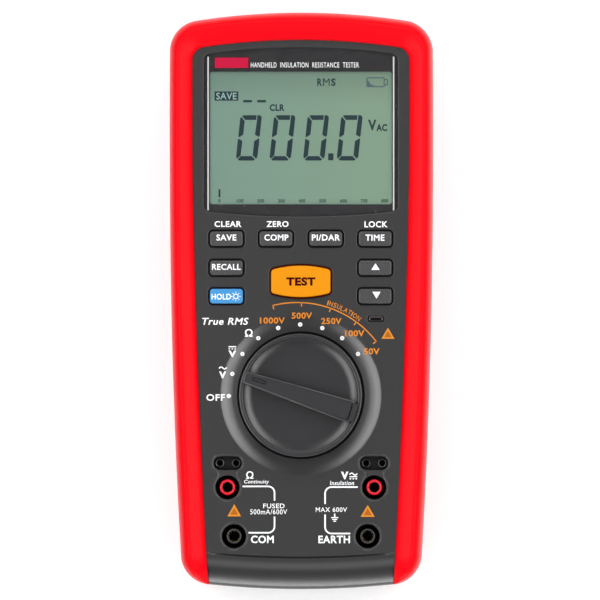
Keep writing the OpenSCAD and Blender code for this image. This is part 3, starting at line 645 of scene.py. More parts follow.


# ---------------------------------------------------------------- clear window
# A hard acrylic window bonded on a ledge of the front cover, with its frame printed black on the underside.
# A thin black ring in the gap round it is painted shade, the shadow down that gap. Its long edges carry
# narrow light grey strips, a painted highlight where the polished bevels catch the light.
LENS_LOW, LENS_TOP = (v.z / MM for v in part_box("lcd_lens"))
VIEW_W, VIEW_TOP, VIEW_LOW = 71.2, 89.4, 37.7


def solid(outline, profile):
    """A closed body: the outline at each (growth, height) of a profile, with a face over both ends."""
    return carried([lifted(outline(g), z) for g, z in profile])


def prism(outline, z0, z1):
    """A flat plate between two heights: a closed outline with side walls and both faces."""
    return carried([lifted(np.asarray(outline, float), z) for z in (z0, z1)])


def gap_ring(low, high, near=0.03, far=GAP - 0.02):
    """Profile of a ring that fills a gap: a rectangle between two heights and two growths or radii."""
    return [(near, low), (far, low), (far, high), (near, high), (near, low)]


CLEAR = moulded("clear_window", (0.02, 0.022, 0.024), 0.06, grain=6, bump=0.01, tint=0.1, rough_var=0.02,
                Alpha=0.07, Specular_IOR_Level=0.8)
pane = [(-0.25, LENS_LOW + 0.03), (0, LENS_LOW + 0.2), (0, LENS_TOP - 0.06), (-0.06, LENS_TOP),
        (-0.8, LENS_TOP)]
piece("window_pane", [solid(lens_outline, pane)], CLEAR, "case", ["lcd_lens"])

BLACK_PRINT = moulded("black_print", (0.022, 0.0205, 0.022), 0.24, grain=3, bump=0.03, tint=0.2)
view_outline = round_rect(0, (VIEW_TOP + VIEW_LOW) / 2, VIEW_W, VIEW_TOP - VIEW_LOW, 1.2, n=12)
mask_loops = [lens_outline(-0.1), view_outline]
mask_z = (LEDGE_Z + 0.02, LENS_LOW)
mask = [sheet_with_holes(mask_loops, z) for z in mask_z]
mask += [grid([lifted(loop, z) for z in mask_z], wrap=True) for loop in mask_loops]
# painted shade: a black ring fills the gap between the pane and the recess wall, for the shadow down that gap
mask.append(rings(lens_outline, gap_ring(LEDGE_Z, PANEL_Z - 0.35, 0.03, RECESS - 0.03)))
piece("window_mask", mask, BLACK_PRINT, "case", ["lens_mask"])

# painted highlight: flat light grey strips on the window's long edges, for the light its polished bevels
# catch
BEVEL_HIGHLIGHT = moulded("painted_bevel_highlight", (0.5, 0.5, 0.5), 0.2, grain=2, bump=0.03, tint=0.03)
BEVEL_X, BEVEL_Y, BEVEL_WIDE, BEVEL_LONG = 36.15, 65.3, 0.54, 60.0
bevel_highlights = [round_rect(side * BEVEL_X, BEVEL_Y, BEVEL_WIDE, BEVEL_LONG, 0.26) for side in (-1, 1)]
piece("window_bevel_highlights", [prism(bevel, LENS_TOP - 0.02, LENS_TOP + 0.03) for bevel in bevel_highlights],
      BEVEL_HIGHLIGHT, "case")


# ---------------------------------------------------------------- title strip
# Printing on the window above the display: a plain red block and one line of small white capitals.
FILM = 0.04


def lettering(words, centre, size, z, slant=0.0, weight=0.0, turn=0.0, apart=1.08):
    """Words as a thin flat print: fitted to a size, leant by slant, turned by degrees, then centred."""
    curve = bpy.data.curves.new("words", "FONT")
    curve.body = words
    curve.offset = weight
    curve.space_character = apart
    curve.extrude = 0.01
    curve.resolution_u = 3
    maker = bpy.data.objects.new("words", curve)
    mesh = bpy.data.meshes.new_from_object(maker)
    points = np.empty(len(mesh.vertices) * 3)
    mesh.vertices.foreach_get("co", points)
    faces = [list(f.vertices) for f in mesh.polygons]
    bpy.data.meshes.remove(mesh)
    bpy.data.objects.remove(maker)
    bpy.data.curves.remove(curve)
    points = points.reshape(-1, 3)
    low, high = points.min(0), points.max(0)
    flat = (points[:, :2] - (low + high)[:2] / 2) / (high - low)[:2] * np.array(size)
    flat[:, 0] += flat[:, 1] * slant
    c, s = math.cos(math.radians(turn)), math.sin(math.radians(turn))
    flat = flat @ np.array([[c, s], [-s, c]]) + np.array(centre)
    return np.column_stack([flat, np.where(points[:, 2] > 0, z + FILM, z)]), faces


WHITE = moulded("print_white", (0.86, 0.87, 0.88), 0.55, grain=0.3, bump=0.02, tint=0.03)
RED_PRINT = moulded("print_red", (0.42, 0.002, 0.035), 0.5, grain=0.5, bump=0.02, tint=0.04,
                    Specular_IOR_Level=0.1)
block = prism(round_rect(-27.0, 92.85, 13.0, 4.0, 0.15), LENS_TOP, LENS_TOP + FILM)
title = lettering("HANDHELD  INSULATION  RESISTANCE  TESTER", (1.55, 92.0), (42.1, 2.0), LENS_TOP,
                  apart=1.12, weight=-0.003)
piece("title_block", [block], RED_PRINT, "case")
piece("title_words", [title], WHITE, "case")


# ---------------------------------------------------------------- display glass
# A reflective twisted-nematic liquid crystal display, grey green, between two sheets of thin glass.
# It is a little bluer on the left and greener on the right, and a painted shadow darkens it towards its top
# edge, under the window frame.
GLASS_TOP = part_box("lcd_glass")[1].z / MM
LCD = moulded("lcd_grey_green", (0.2, 0.32, 0.24), 0.3, grain=0.15, bump=0.02, tint=0.0)
LCD_LEFT, LCD_RIGHT = (0.166, 0.278, 0.22, 1), (0.199, 0.31, 0.214, 1)
tree = LCD.node_tree
split = tree.nodes.new("ShaderNodeSeparateXYZ")
tree.links.new(tree.nodes.new("ShaderNodeTexCoord").outputs["Object"], split.inputs["Vector"])
sweep = ranged(tree, split.outputs["X"], From_Min=-VIEW_W / 2 * MM, From_Max=VIEW_W / 2 * MM)
# painted shadow: the window frame's shade, darkest at the top edge of the display
frame_shadow = ranged(tree, split.outputs["Y"], smooth=True, From_Min=(VIEW_TOP + 2.0) * MM,
               From_Max=(VIEW_TOP - 16.0) * MM, To_Min=0.76)
dimmed = blended(tree, 1.0, blended(tree, sweep, LCD_LEFT, LCD_RIGHT), frame_shadow, "MULTIPLY")
tree.links.new(dimmed, tree.nodes["Principled BSDF"].inputs["Base Color"])
mid, size = box_mm("lcd_glass")
low_z, top_z = mid[2] - size[2] / 2, mid[2] + size[2] / 2
piece("display_glass", [solid(lambda g: round_rect(mid[0], mid[1], size[0], size[1], 0.4, g),
                              [(0, low_z), (0, top_z - 0.15), (-0.15, top_z), (-0.4, top_z)])],
      LCD, "case", ["lcd_glass"])


# ---------------------------------------------------------------- display figures
# The dark segments the display is driving: four slanted digits with a decimal point, and the small signs.
# Each is a thin film just over the glass, where the crystal turns dark.
SEGMENT = moulded("segments", (0.012, 0.031, 0.038), 0.35, grain=0.3, bump=0.01, tint=0.1,
                  Specular_IOR_Level=0.2)
LEAN = math.tan(math.radians(6.2))
DIGIT_TOP, DIGIT_LOW, DIGIT_WIDE = 72.45, 54.75, 8.35
FIRST_DIGIT, DIGIT_PITCH = -25.45, 13.1
FIGURE_Z = (GLASS_TOP, GLASS_TOP + FILM)


def digit_zero(base_x):
    """The six lit segments of a zero with mitred ends; each point leans right by LEAN times its height."""
    w, h, half = DIGIT_WIDE, DIGIT_TOP - DIGIT_LOW, (DIGIT_TOP - DIGIT_LOW) / 2
    upper = [
        [(0.7, h - 0.35), (0.95, h), (w - 2.1, h), (w - 2.05, h - 1.85), (1.95, h - 1.85)],
        [(w - 1.75, h), (w - 1.15, h), (w - 0.6, h - 0.15), (w - 0.15, h - 0.6), (w, h - 1.3),
         (w, half + 0.9), (w - 0.35, half + 0.35), (w - 1.9, half + 1.25), (w - 1.75, h - 1.85)],
        [(0, h - 1.1), (0.4, h - 0.7), (1.85, h - 2.3), (1.85, half + 1.25), (0.45, half + 0.3),
         (0, half + 0.55)],
    ]
    lower = [
        [(0, half - 0.65), (0.2, half - 0.3), (1.8, half - 1.2), (1.75, 2.05), (0.5, 0.75), (0.15, 1.1),
         (0, 1.6)],
        [(1.75, 1.75), (w - 2.3, 1.75), (w - 0.9, 0.45), (w - 1.35, 0), (1.4, 0), (0.75, 0.45)],
        [(w, half - 0.65), (w - 0.3, half - 0.15), (w - 1.95, half - 1.25), (w - 1.95, 2.05), (w - 0.5, 0.7),
         (w - 0.15, 1.2), (w, 1.8)],
    ]
    bars = [np.array(bar) for bar in upper + lower]
    leant = [np.column_stack([base_x + b[:, 0] + LEAN * b[:, 1], DIGIT_LOW + b[:, 1]]) for b in bars]
    return [prism(bar, *FIGURE_Z) for bar in leant]


def stroke(path, width, z=PANEL_Z):
    """A printed line of even width: each point of a path moved half the width to both sides of it."""
    path = np.asarray(path, float)
    way = np.gradient(path, axis=0)
    way /= np.linalg.norm(way, axis=1)[:, None]
    side = np.stack([-way[:, 1], way[:, 0]], -1) * width / 2
    return prism(np.concatenate([path + side, (path - side)[::-1]]), z, z + FILM)


figures = []
for k in range(4):
    figures += digit_zero(FIRST_DIGIT + DIGIT_PITCH * k)
figures.append(prism(round_rect(11.65, 56.2, 2.1, 2.7, 0.25), *FIGURE_Z))
figures.append(lettering("V", (27.8, 68.6), (3.3, 4.2), GLASS_TOP, weight=0.035))
figures.append(lettering("AC", (31.5, 67.6), (4.3, 2.8), GLASS_TOP, weight=0.045))
for letter, x, w, weight in (("R", 7.3, 1.9, 0.035), ("M", 9.9, 2.6, 0.0), ("S", 12.65, 1.8, 0.035)):
    figures.append(lettering(letter, (x, 85.3), (w, 2.95), GLASS_TOP, weight=weight))
figures.append(lettering("CLR", (-9.3, 75.4), (5.8, 2.7), GLASS_TOP, weight=0.04))
for x in (-20.8, -15.35):
    figures.append(prism(round_rect(x, 77.9, 3.5, 0.95, 0.4), *FIGURE_Z))
figures.append(prism(round_rect(-31.75, 42.0, 0.75, 3.1, 0.1), *FIGURE_Z))
SAVE_AT = (-29.05, 79.9)
figures.append(prism(round_rect(*SAVE_AT, 9.25, 3.6, 0.15), *FIGURE_Z))
piece("display_segments", figures, SEGMENT, "case")
SEGMENT_PALE = moulded("segments_pale", (0.045, 0.1, 0.11), 0.35, grain=0.3, bump=0.01, tint=0.1)
cell_line = [(25.75, 87.0), (32.45, 87.0), (32.45, 83.6), (25.75, 83.6), (25.75, 87.0)]
tip_line = [(32.45, 86.3), (33.75, 86.3), (33.75, 84.3), (32.45, 84.3)]
cell = [stroke(line[k:k + 2], 0.45, GLASS_TOP)
        for line in (cell_line, tip_line) for k in range(len(line) - 1)]
cell.append(prism([(25.9, 86.4), (25.9, 83.7), (29.3, 83.7), (27.2, 84.5)], GLASS_TOP, GLASS_TOP + FILM / 2))
piece("display_battery_sign", cell, SEGMENT_PALE, "case")
SEGMENT_CLEAR = moulded("segments_clear", (0.25, 0.4, 0.38), 0.35, tint=0.02)
piece("display_save_word", [lettering("SAVE", SAVE_AT, (8.0, 2.7), GLASS_TOP + FILM, weight=0.02)],
      SEGMENT_CLEAR, "case")
SCALE_GREEN = moulded("scale_numbers", (0.01, 0.035, 0.034), 0.35, tint=0.05)
SCALE_START, SCALE_PITCH, SCALE_Y = -31.8, 8.06, 39.05
numbers = [lettering(str(k * 100), (SCALE_START + SCALE_PITCH * k, SCALE_Y), (2.7 if k else 0.9, 1.45),
                     GLASS_TOP, weight=0.035) for k in range(9)]
piece("display_scale_numbers", numbers, SCALE_GREEN, "case")


# ---------------------------------------------------------------- small keys
# Hard moulded key caps that stand a little out of the panel, with soft rounded edges.
# Each has a flange under the panel, which stops it there, and a black ring in the gap round it is painted
# shade, the shadow down the gap.
KEY_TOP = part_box("key_save")[1].z / MM
FLANGE_Z = (43.6, 44.6)
KEY_GREY = moulded("key_grey", (0.041, 0.04, 0.042), 0.28, grain=0.35, bump=0.12, tint=0.03)
KEY_BLUE = moulded("key_blue", (0.03, 0.235, 0.53), 0.3, grain=0.35, bump=0.1, tint=0.03)


def cap_profile(top, edge):
    """Profile of a key from its flange to its top, with a rounded upper edge: (growth, height) pairs."""
    a = np.radians(np.linspace(0, 90, 7))
    round_edge = [(-edge * (1 - math.cos(t)), top - edge + edge * math.sin(t)) for t in a]
    flange = [(FLANGE, FLANGE_Z[0]), (FLANGE, FLANGE_Z[1]), (0, FLANGE_Z[1])]
    return flange + round_edge + [(-edge - 0.3, top)]


for name in KEYS:
    colour, slot_name = (KEY_BLUE, "key_blue") if name == "hold" else (KEY_GREY, "key_grey")
    piece("cap_" + name, [solid(key_outline(name), cap_profile(KEY_TOP, 0.45))], colour,
          name + "_button", ["key_" + name])

# painted shade: a black ring in each key's gap, for the shadow down the gap
KEY_GAP_SHADE = moulded("painted_key_gap_shade", (0.004, 0.0035, 0.004), 0.6, bump=0.05, tint=0.1, Specular_IOR_Level=0.1)
GAP_RING_Z = (45.4, 46.3)
key_gap_rings = [rings(key_outline(name), gap_ring(*GAP_RING_Z)) for name in KEYS]
piece("key_gap_shades", key_gap_rings, KEY_GAP_SHADE, "case")


# ---------------------------------------------------------------- test key
# The large amber key that starts a measurement, a hard cap bowed above and below.
# A red-brown rubber ring fills the gap round it, and its word is printed in the same colour.
TEST_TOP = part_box("key_test")[1].z / MM
AMBER_KEY = moulded("key_orange", (0.66, 0.235, 0.0005), 0.36, grain=0.4, bump=0.06, tint=0.02,
                    Specular_IOR_Level=0.1)
BROWN = moulded("print_brown", (0.045, 0.001, 0.001), 0.5, bump=0.02, tint=0.05, Specular_IOR_Level=0.03)
piece("cap_test", [solid(key_outline("test"), cap_profile(TEST_TOP, 0.5))], AMBER_KEY, "test_button",
      ["key_test"])
border_z = (GAP_RING_Z[0], PANEL_Z - 0.3)
piece("test_border", [rings(key_outline("test"), gap_ring(*border_z))], BROWN, "case")
piece("test_word", [lettering("TEST", (0.04, 7.6), (11.4, 3.3), TEST_TOP, weight=0.048)], BROWN,
      "test_button")


# ---------------------------------------------------------------- key legends
# White capitals printed on the caps, and the second functions printed on the panel above three of them.
ON_KEYS = {
    "save": ("SAVE", (-29.0, 24.75), (7.8, 2.4)), "comp": ("COMP", (-9.5, 24.75), (9.4, 2.4)),
    "pi_dar": ("PI/DAR", (9.8, 24.75), (11.0, 2.45)), "time": ("TIME", (28.9, 24.7), (7.4, 2.4)),
    "recall": ("RECALL", (-29.0, 13.3), (11.2, 2.35)), "hold": ("HOLD", (-31.0, 1.7), (7.6, 2.3)),
}
LAMP_RING = [(0.75, 0), (1.05, 0), (1.05, FILM), (0.75, FILM), (0.75, 0)]
LAMP_RAY = np.array([(1.3, -0.13), (1.85, -0.13), (1.85, 0.13), (1.3, 0.13)])


def lamp_sign(x, y):
    """The small lamp: a flat ring, and eight short bars turned round it in even steps."""
    sign = [turned(x, y, [(r, KEY_TOP + z) for r, z in LAMP_RING], 24)]
    for a in np.radians(np.arange(0, 360, 45)):
        spin = np.array([[np.cos(a), np.sin(a)], [-np.sin(a), np.cos(a)]])
        sign.append(prism(LAMP_RAY @ spin + (x, y), KEY_TOP, KEY_TOP + FILM))
    return sign


for name, (words, at, size) in ON_KEYS.items():
    parts = [lettering(words, at, size, KEY_TOP, weight=0.02)]
    if name == "hold":
        parts += lamp_sign(-25.3, 1.8)
    piece("legend_" + name, parts, WHITE, name + "_button")
arrows = {"up": [(27.5, 12.15), (30.7, 12.15), (29.1, 14.7)],
          "down": [(27.9, 3.6), (31.1, 3.6), (29.5, 0.95)]}
for name, corners in arrows.items():
    arrow = prism(corners, KEY_TOP, KEY_TOP + FILM)
    piece("legend_" + name, [arrow], WHITE, name + "_button")
second = [("CLEAR", (-28.4, 30.0), (10.5, 2.3)), ("ZERO", (-9.1, 30.0), (8.6, 2.3)),
          ("LOCK", (29.3, 29.9), (9.0, 2.4))]
piece("legend_second_functions", [lettering(w, at, size, PANEL_Z, weight=0.02) for w, at, size in second],
      WHITE, "case")


# ---------------------------------------------------------------- range knob
# A round knob moulded in dark nylon, with two scoops that leave a tapered grip bar between them.
# The narrow end of the bar is the pointer, and a slot cut in it is filled black: painted shade, the shadow
# down the slot.
# A black ring low in the gap round the knob is painted shade too, the shadow down that gap.
KNOB = moulded("knob_grey", (0.019, 0.018, 0.02), 0.25, grain=0.22, bump=0.2, tint=0.05, rough_var=0.05)
POINTER = math.radians(162.0)
KNOB_LOW, KNOB_RIM, BAR_TOP = 45.35, 56.5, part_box("range_knob")[1].z / MM
FILLET_R, FILLET_WIDE, SCOOP_R, SCOOP_Z = 12.0, 3.8, 18.3, 50.0
turn = np.array([[math.cos(POINTER), math.sin(POINTER)], [-math.sin(POINTER), math.cos(POINTER)]])


def knob_frame(points):
    """Points given along and across the grip bar, turned to the pointer and moved to the knob's centre."""
    points = np.array(points, float)
    points[..., :2] = points[..., :2] @ turn + np.array(KNOB_AT)
    return points


fillet = np.linspace(FILLET_WIDE, 0, 12)
knob_line = [(0, 41.0), (6, 41.0), (6, KNOB_LOW), (23.5, KNOB_LOW), (23.9, 45.6), (24.0, 46.0), (24.0, 56.2)]
knob_line += [(23.96, 56.36), (23.86, 56.46), (23.7, KNOB_RIM), (22.55, KNOB_RIM), (22.4, 56.46)]
knob_line += [(22.32, 56.36), (22.25, 55.9), (22.15, 52.0), (22.12, 51.0)]
knob_line += [(SCOOP_R + f, SCOOP_Z + FILLET_R - math.sqrt(FILLET_R**2 - f**2)) for f in fillet]
knob_line += [(12, SCOOP_Z), (6, SCOOP_Z), (0, SCOOP_Z)]
knob_parts = [turned(*KNOB_AT, knob_line, 192)]


def bar_line(inset):
    """Outline of the grip bar: straight sides that taper to the pointer, and ends on a circle."""
    ends = []
    for r, half, way in ((23.35 - inset, 2.5 - inset, 1), (23.6 - inset, 4.45 - inset, -1)):
        a = math.degrees(math.asin(half / r))
        ends.append(arc(0, 0, r, -a, a, 9) * way)
    return np.concatenate(ends)


bar = []
for inset, z in [(0, 49.6), (0, BAR_TOP - 0.45), (0.08, BAR_TOP - 0.22), (0.28, BAR_TOP - 0.05),
                 (0.5, BAR_TOP), (0.9, BAR_TOP)]:
    line = bar_line(inset)
    line[line[:, 0] < 0, 0] += max(0.0, z - KNOB_RIM) * 0.98
    bar.append(knob_frame(lifted(line, z)))
knob_parts.append(grid(bar, wrap=True))


def mark_line(inset):
    """Outline of the index mark cut in the bar: a slot with round ends, near the pointer."""
    return round_rect(17.0, -0.4, 5.9 - 2 * inset, 1.45 - 2 * inset, 0.6 - inset)


MARK_IN, MARK_OUT, MARK_DEEP = 0.02, 0.34, 0.45
groove = [(0, BAR_TOP), (MARK_IN, BAR_TOP - MARK_DEEP), (MARK_OUT, BAR_TOP - MARK_DEEP), (0.36, BAR_TOP)]
marked = [sheet_with_holes([bar_line(0.9), mark_line(0)], BAR_TOP),
          sheet_with_holes([mark_line(0.36)], BAR_TOP), rings(mark_line, groove)]
knob_parts += [(knob_frame(points), faces) for points, faces in marked]
# painted shade: black fill for the shadow in the gap round the knob and in the slot of the index mark
GAP_SHADE_BLACK = moulded("knob_gap_shade", (0.004, 0.0035, 0.0035), 0.7, bump=0.1, tint=0.1, Specular_IOR_Level=0.1)
# painted shade: a black ring low in the gap round the knob, for the shadow down that gap
piece("knob_gap_shade", [turned(*KNOB_AT, gap_ring(43.6, 45.1, 22.7, 24.8))], GAP_SHADE_BLACK, "case")
# painted shade: a black fill in the slot of the index mark, for the shadow down the slot
points, faces = rings(mark_line, gap_ring(BAR_TOP - 0.4, BAR_TOP - 0.08, MARK_IN, MARK_OUT))
piece("index_slot_shade", [(knob_frame(points), faces)], GAP_SHADE_BLACK, "knob")
piece("knob", knob_parts, KNOB, "knob", ["range_knob"], sharp=50)


# ---------------------------------------------------------------- printing round the knob
# Screen-printed marks: white dots at each position, white legends for the plain ranges and the amber
# insulation voltages under their arc.
AMBER = moulded("print_amber", (0.62, 0.2, 0.01), 0.55, grain=0.3, bump=0.02, tint=0.03,
                Specular_IOR_Level=0.15)
DOT_R, DOTS_R, DOT_SHIFT, DOT_STEP = 0.84, 27.84, (-0.25, -0.3), 18


def bearing(a):
    """The unit step in a direction, in degrees from the panel's right."""
    return np.array([math.cos(math.radians(a)), math.sin(math.radians(a))])


def wave_line(x, y, high, half=1.5):
    """The wavy bar of the alternating-current sign: a little over one turn of a sine, upside down."""
    along = np.linspace(-half, half, 19)
    return stroke(np.column_stack([x + along, y - high * np.sin(along / half * 1.15 * math.pi)]), 0.45)


white = []
dot = [(0, -0.3), (DOT_R, -0.3), (DOT_R, FILM), (0.2, FILM), (0.2, -0.02), (0, -0.02)]
for a in range(2 * DOT_STEP, 181, DOT_STEP):
    x, y = np.array(KNOB_AT) + DOT_SHIFT + DOTS_R * bearing(a)
    points, faces = turned(x, y, dot, 24)
    away = np.hypot(points[:, 0] - KNOB_AT[0], points[:, 1] - KNOB_AT[1])
    points[:, 2] += np.interp(away, dish_r[::-1], (PANEL_Z - dish_drop)[::-1])
    white.append((points, faces))
white += [
    lettering("True RMS", (-29.6, -7.9), (18.1, 2.75), PANEL_Z, slant=0.22, weight=0.015),
    lettering("Ω", (-20.3, -12.4), (3.0, 3.0), PANEL_Z, weight=0.02),
    lettering("V", (-26.7, -20.6), (3.0, 2.6), PANEL_Z, weight=0.05),
    lettering("V", (-30.5, -28.8), (2.7, 2.7), PANEL_Z, weight=0.05),
    lettering("OFF", (-33.2, -37.6), (7.3, 2.6), PANEL_Z, weight=0.02),
    prism(round_rect(-26.7, -17.8, 3.0, 0.42, 0.1), PANEL_Z, PANEL_Z + FILM),
]
DASHES = (-1.15, 0, 1.15)
white += [prism(round_rect(-26.7 + d, -18.65, 0.62, 0.38, 0.1), PANEL_Z, PANEL_Z + FILM) for d in DASHES]
white.append(wave_line(-30.4, -26.1, 0.38))
piece("dial_legends", white, WHITE, "case")

volts = [("1000V", (-11.1, -7.6), 9.7), ("500V", (0.4, -5.7), 7.9), ("250V", (11.9, -7.8), 7.9),
         ("100V", (21.0, -12.6), 7.5), ("50V", (27.6, -19.6), 6.2)]
amber = [lettering(words, at, (w, 2.45), PANEL_Z, weight=0.025) for words, at, w in volts]
ARC_AT, ARC_R, ARC_LINE, TICK = np.array((-1.44, -39.42)), 38.85, 0.42, 1.5
amber.append(stroke(arc(*ARC_AT, ARC_R, 37.3, 104.3, 60), ARC_LINE))
for a in (37.6, 53.6, 70.4, 87.5, 104.1):
    amber.append(stroke([ARC_AT + bearing(a) * (ARC_R - TICK), ARC_AT + bearing(a) * ARC_R], ARC_LINE))
breadth = {"I": 0.4, "N": 1.35, "S": 1.2, "U": 1.25, "L": 1.0, "A": 1.45, "T": 1.2, "O": 1.5}
WORD_R, WORD_FROM, LETTER_GAP = ARC_R + 1.7, 73.0, 0.36
along = 0.0
for letter in "INSULATION":
    wide = breadth[letter]
    a = WORD_FROM - math.degrees((along + wide / 2) / WORD_R)
    amber.append(lettering(letter, ARC_AT + bearing(a) * WORD_R, (wide, 1.85), PANEL_Z, turn=a - 90))
    along += wide + LETTER_GAP
piece("dial_voltages", amber, AMBER, "case")


# ---------------------------------------------------------------- amber triangles
# Three plain printed triangles, a pale border round a deeper amber field.
triangles = [[(31.4, -14.7), (36.5, -14.7), (33.95, -10.4)],
             [(-28.6, -83.9), (-23.3, -83.9), (-25.95, -79.2)],
             [(23.3, -84.1), (28.8, -84.1), (26.05, -79.5)]]
FIELD_SHARE = 0.6
AMBER_PALE = moulded("print_amber_pale", (0.62, 0.22, 0.015), 0.55, tint=0.03, Specular_IOR_Level=0.15)
AMBER_DEEP = moulded("print_amber_deep", (0.36, 0.1, 0.002), 0.55, tint=0.03, Specular_IOR_Level=0.15)
borders, fields = [], []
for corners in triangles:
    corners = np.array(corners)
    mid = corners.mean(0)
    borders.append(prism(corners, PANEL_Z, PANEL_Z + FILM))
    fields.append(prism(mid + (corners - mid) * FIELD_SHARE, PANEL_Z + FILM, PANEL_Z + 1.5 * FILM))
piece("triangle_borders", borders, AMBER_PALE, "case")
piece("triangle_fields", fields, AMBER_DEEP, "case")


# ---------------------------------------------------------------- socket mouldings
# Black shrouds that come up flush inside the raised lands: round cups for the test leads and an oblong
# recess for a two-pin probe, joined by a foot behind the panel.
BLACK = moulded("black_plastic", (0.004, 0.0035, 0.0035), 0.4, grain=0.5, bump=0.06, tint=0.1,
                Specular_IOR_Level=0.12)
SHROUD_R, CUP_IN, CUP_FLOOR, FOOT_Z, LIP_Z = CUP_R - 0.03, 4.55, 28.0, 26.0, 47.45
PIN_FLOOR, PIN_LOW, PIN_PITCH, PIN_R, SLEEVE_HOLE = 41.4, 34.0, 6.3, 1.68, 2.62
FOOT_X, FOOT_Y = (20.0, 35.0), (-95, -62)
shroud = [(SLEEVE_HOLE, FOOT_Z), (SHROUD_R, FOOT_Z), (SHROUD_R, LIP_Z - 0.2),
          (SHROUD_R - 0.06, LIP_Z - 0.06), (SHROUD_R - 0.18, LIP_Z), (CUP_IN + 0.04, LIP_Z - 0.12),
          (CUP_IN, LIP_Z - 0.4), (CUP_IN, CUP_FLOOR + 0.3), (CUP_IN - 0.2, CUP_FLOOR),
          (SLEEVE_HOLE, CUP_FLOOR), (SLEEVE_HOLE, FOOT_Z)]
probe = [(-0.02, PIN_LOW), (-0.02, LIP_Z - 0.2), (-0.08, LIP_Z - 0.06), (-0.2, LIP_Z), (-0.31, LIP_Z - 0.12),
         (-0.35, LIP_Z - 0.4), (-0.35, PIN_FLOOR)]
for side, word in ((-1, "left"), (1, "right")):
    def slot(g, side=side):
        return stadium(side, g)

    parts = [turned(side * x, y, shroud, SMALL_ROUND) for x, y in (RED_AT, BLACK_AT)]
    pins = [circle(side * PROBE_AT[0] + d, PROBE_AT[1], PIN_R, 32) for d in (-PIN_PITCH / 2, PIN_PITCH / 2)]
    parts += [grid([lifted(pin, z) for z in (PIN_FLOOR, PIN_LOW)], wrap=True) for pin in pins]
    parts.append(sheet_with_holes([slot(-0.02)] + pins, PIN_LOW))
    parts.append(sheet_with_holes([slot(-0.35)] + pins, PIN_FLOOR))
    parts.append(rings(slot, probe))
    x0, x1 = sorted((side * FOOT_X[0], side * FOOT_X[1]))
    foot = [(x0, FOOT_Y[0]), (x1, FOOT_Y[0]), (x1, FOOT_Y[1]), (x0, FOOT_Y[1])]
    cups = [circle(side * x, y, SHROUD_R, SMALL_ROUND) for x, y in (RED_AT, BLACK_AT)]
    parts += [sheet_with_holes([foot] + cups, z) for z in (FOOT_Z, CUP_FLOOR)]
    parts.append(grid([lifted(foot, z) for z in (FOOT_Z, CUP_FLOOR)], wrap=True))
    piece("shroud_" + word, parts, BLACK, "case", ["socket_block_" + word])


# ---------------------------------------------------------------- socket sleeves
# Insulating sleeves round the plug contacts, red for the live sockets and black for the common ones.
# Each is a short tube with a rounded mouth, pressed into its cup. The black ones carry a thin grey ring on
# the mouth, a painted highlight on its rounded edge.
SLEEVE_RED = moulded("sleeve_red", (0.64, 0.003, 0.022), 0.3, grain=0.5, bump=0.03, tint=0.02,
                     Specular_IOR_Level=0.25)
SLEEVE_BLACK = moulded("sleeve_black", (0.009, 0.0085, 0.009), 0.28, grain=0.5, bump=0.03, tint=0.1,
                       Specular_IOR_Level=0.2)
SLEEVE_MOUTH_HIGHLIGHT = moulded("painted_sleeve_mouth_highlight", (0.04, 0.038, 0.038), 0.35, grain=0.4, bump=0.05, tint=0.1)
SLEEVE_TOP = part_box("sleeve_red_left")[1].z / MM
SLEEVE_OUT, SLEEVE_IN, PLUG_R, SLEEVE_LOW, PLUG_STOP = 3.05, 2.55, 2.05, 27.5, 44.1
tube = [(SLEEVE_IN, SLEEVE_LOW), (SLEEVE_OUT, SLEEVE_LOW), (SLEEVE_OUT, SLEEVE_TOP - 0.35),
        (2.97, SLEEVE_TOP - 0.14), (2.8, SLEEVE_TOP - 0.02), (2.6, SLEEVE_TOP), (2.3, SLEEVE_TOP - 0.03),
        (2.12, SLEEVE_TOP - 0.16), (PLUG_R, SLEEVE_TOP - 0.4), (PLUG_R, PLUG_STOP), (SLEEVE_IN, PLUG_STOP),
        (SLEEVE_IN, SLEEVE_LOW)]
# painted highlight: a thin grey ring on each black sleeve's mouth, for the light its rounded edge catches
edge = [(2.5, SLEEVE_TOP - 0.01), (2.56, SLEEVE_TOP + 0.03), (2.76, SLEEVE_TOP + 0.02),
        (2.82, SLEEVE_TOP - 0.05), (2.5, SLEEVE_TOP - 0.01)]
for tone, at, material, finish in (("red", RED_AT, SLEEVE_RED, "sleeve_red"),
                                   ("black", BLACK_AT, SLEEVE_BLACK, "black_plastic")):
    for side, word in ((-1, "left"), (1, "right")):
        name = tone + "_" + word
        piece("tube_" + name, [turned(side * at[0], at[1], tube, 48)], material, "case",
              ["sleeve_" + name])
piece("sleeve_mouth_highlights", [turned(side * BLACK_AT[0], BLACK_AT[1], edge, 48) for side in (-1, 1)],
      SLEEVE_MOUTH_HIGHLIGHT, "case")


# ---------------------------------------------------------------- probe contacts
# Nickel-plated tubes standing in the oblong probe sockets, seen end on as two small rings.
NICKEL = moulded("nickel", (0.42, 0.4, 0.38), 0.3, grain=0.2, bump=0.08, tint=0.1, Metallic=1.0)
low_z, top_z = (v.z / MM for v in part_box("probe_contacts"))
TUBE_IN, TUBE_OUT = 1.25, 1.65
tube = [(TUBE_IN, low_z), (TUBE_OUT, low_z), (TUBE_OUT, top_z - 0.2), (1.58, top_z - 0.05), (1.46, top_z),
        (1.32, top_z - 0.06), (TUBE_IN, top_z - 0.25), (TUBE_IN, low_z)]
tubes = [turned(side * PROBE_AT[0] + d, PROBE_AT[1], tube, 32)
         for side in (-1, 1) for d in (-PIN_PITCH / 2, PIN_PITCH / 2)]
piece("probe_tubes", tubes, NICKEL, "case", ["probe_contacts"])


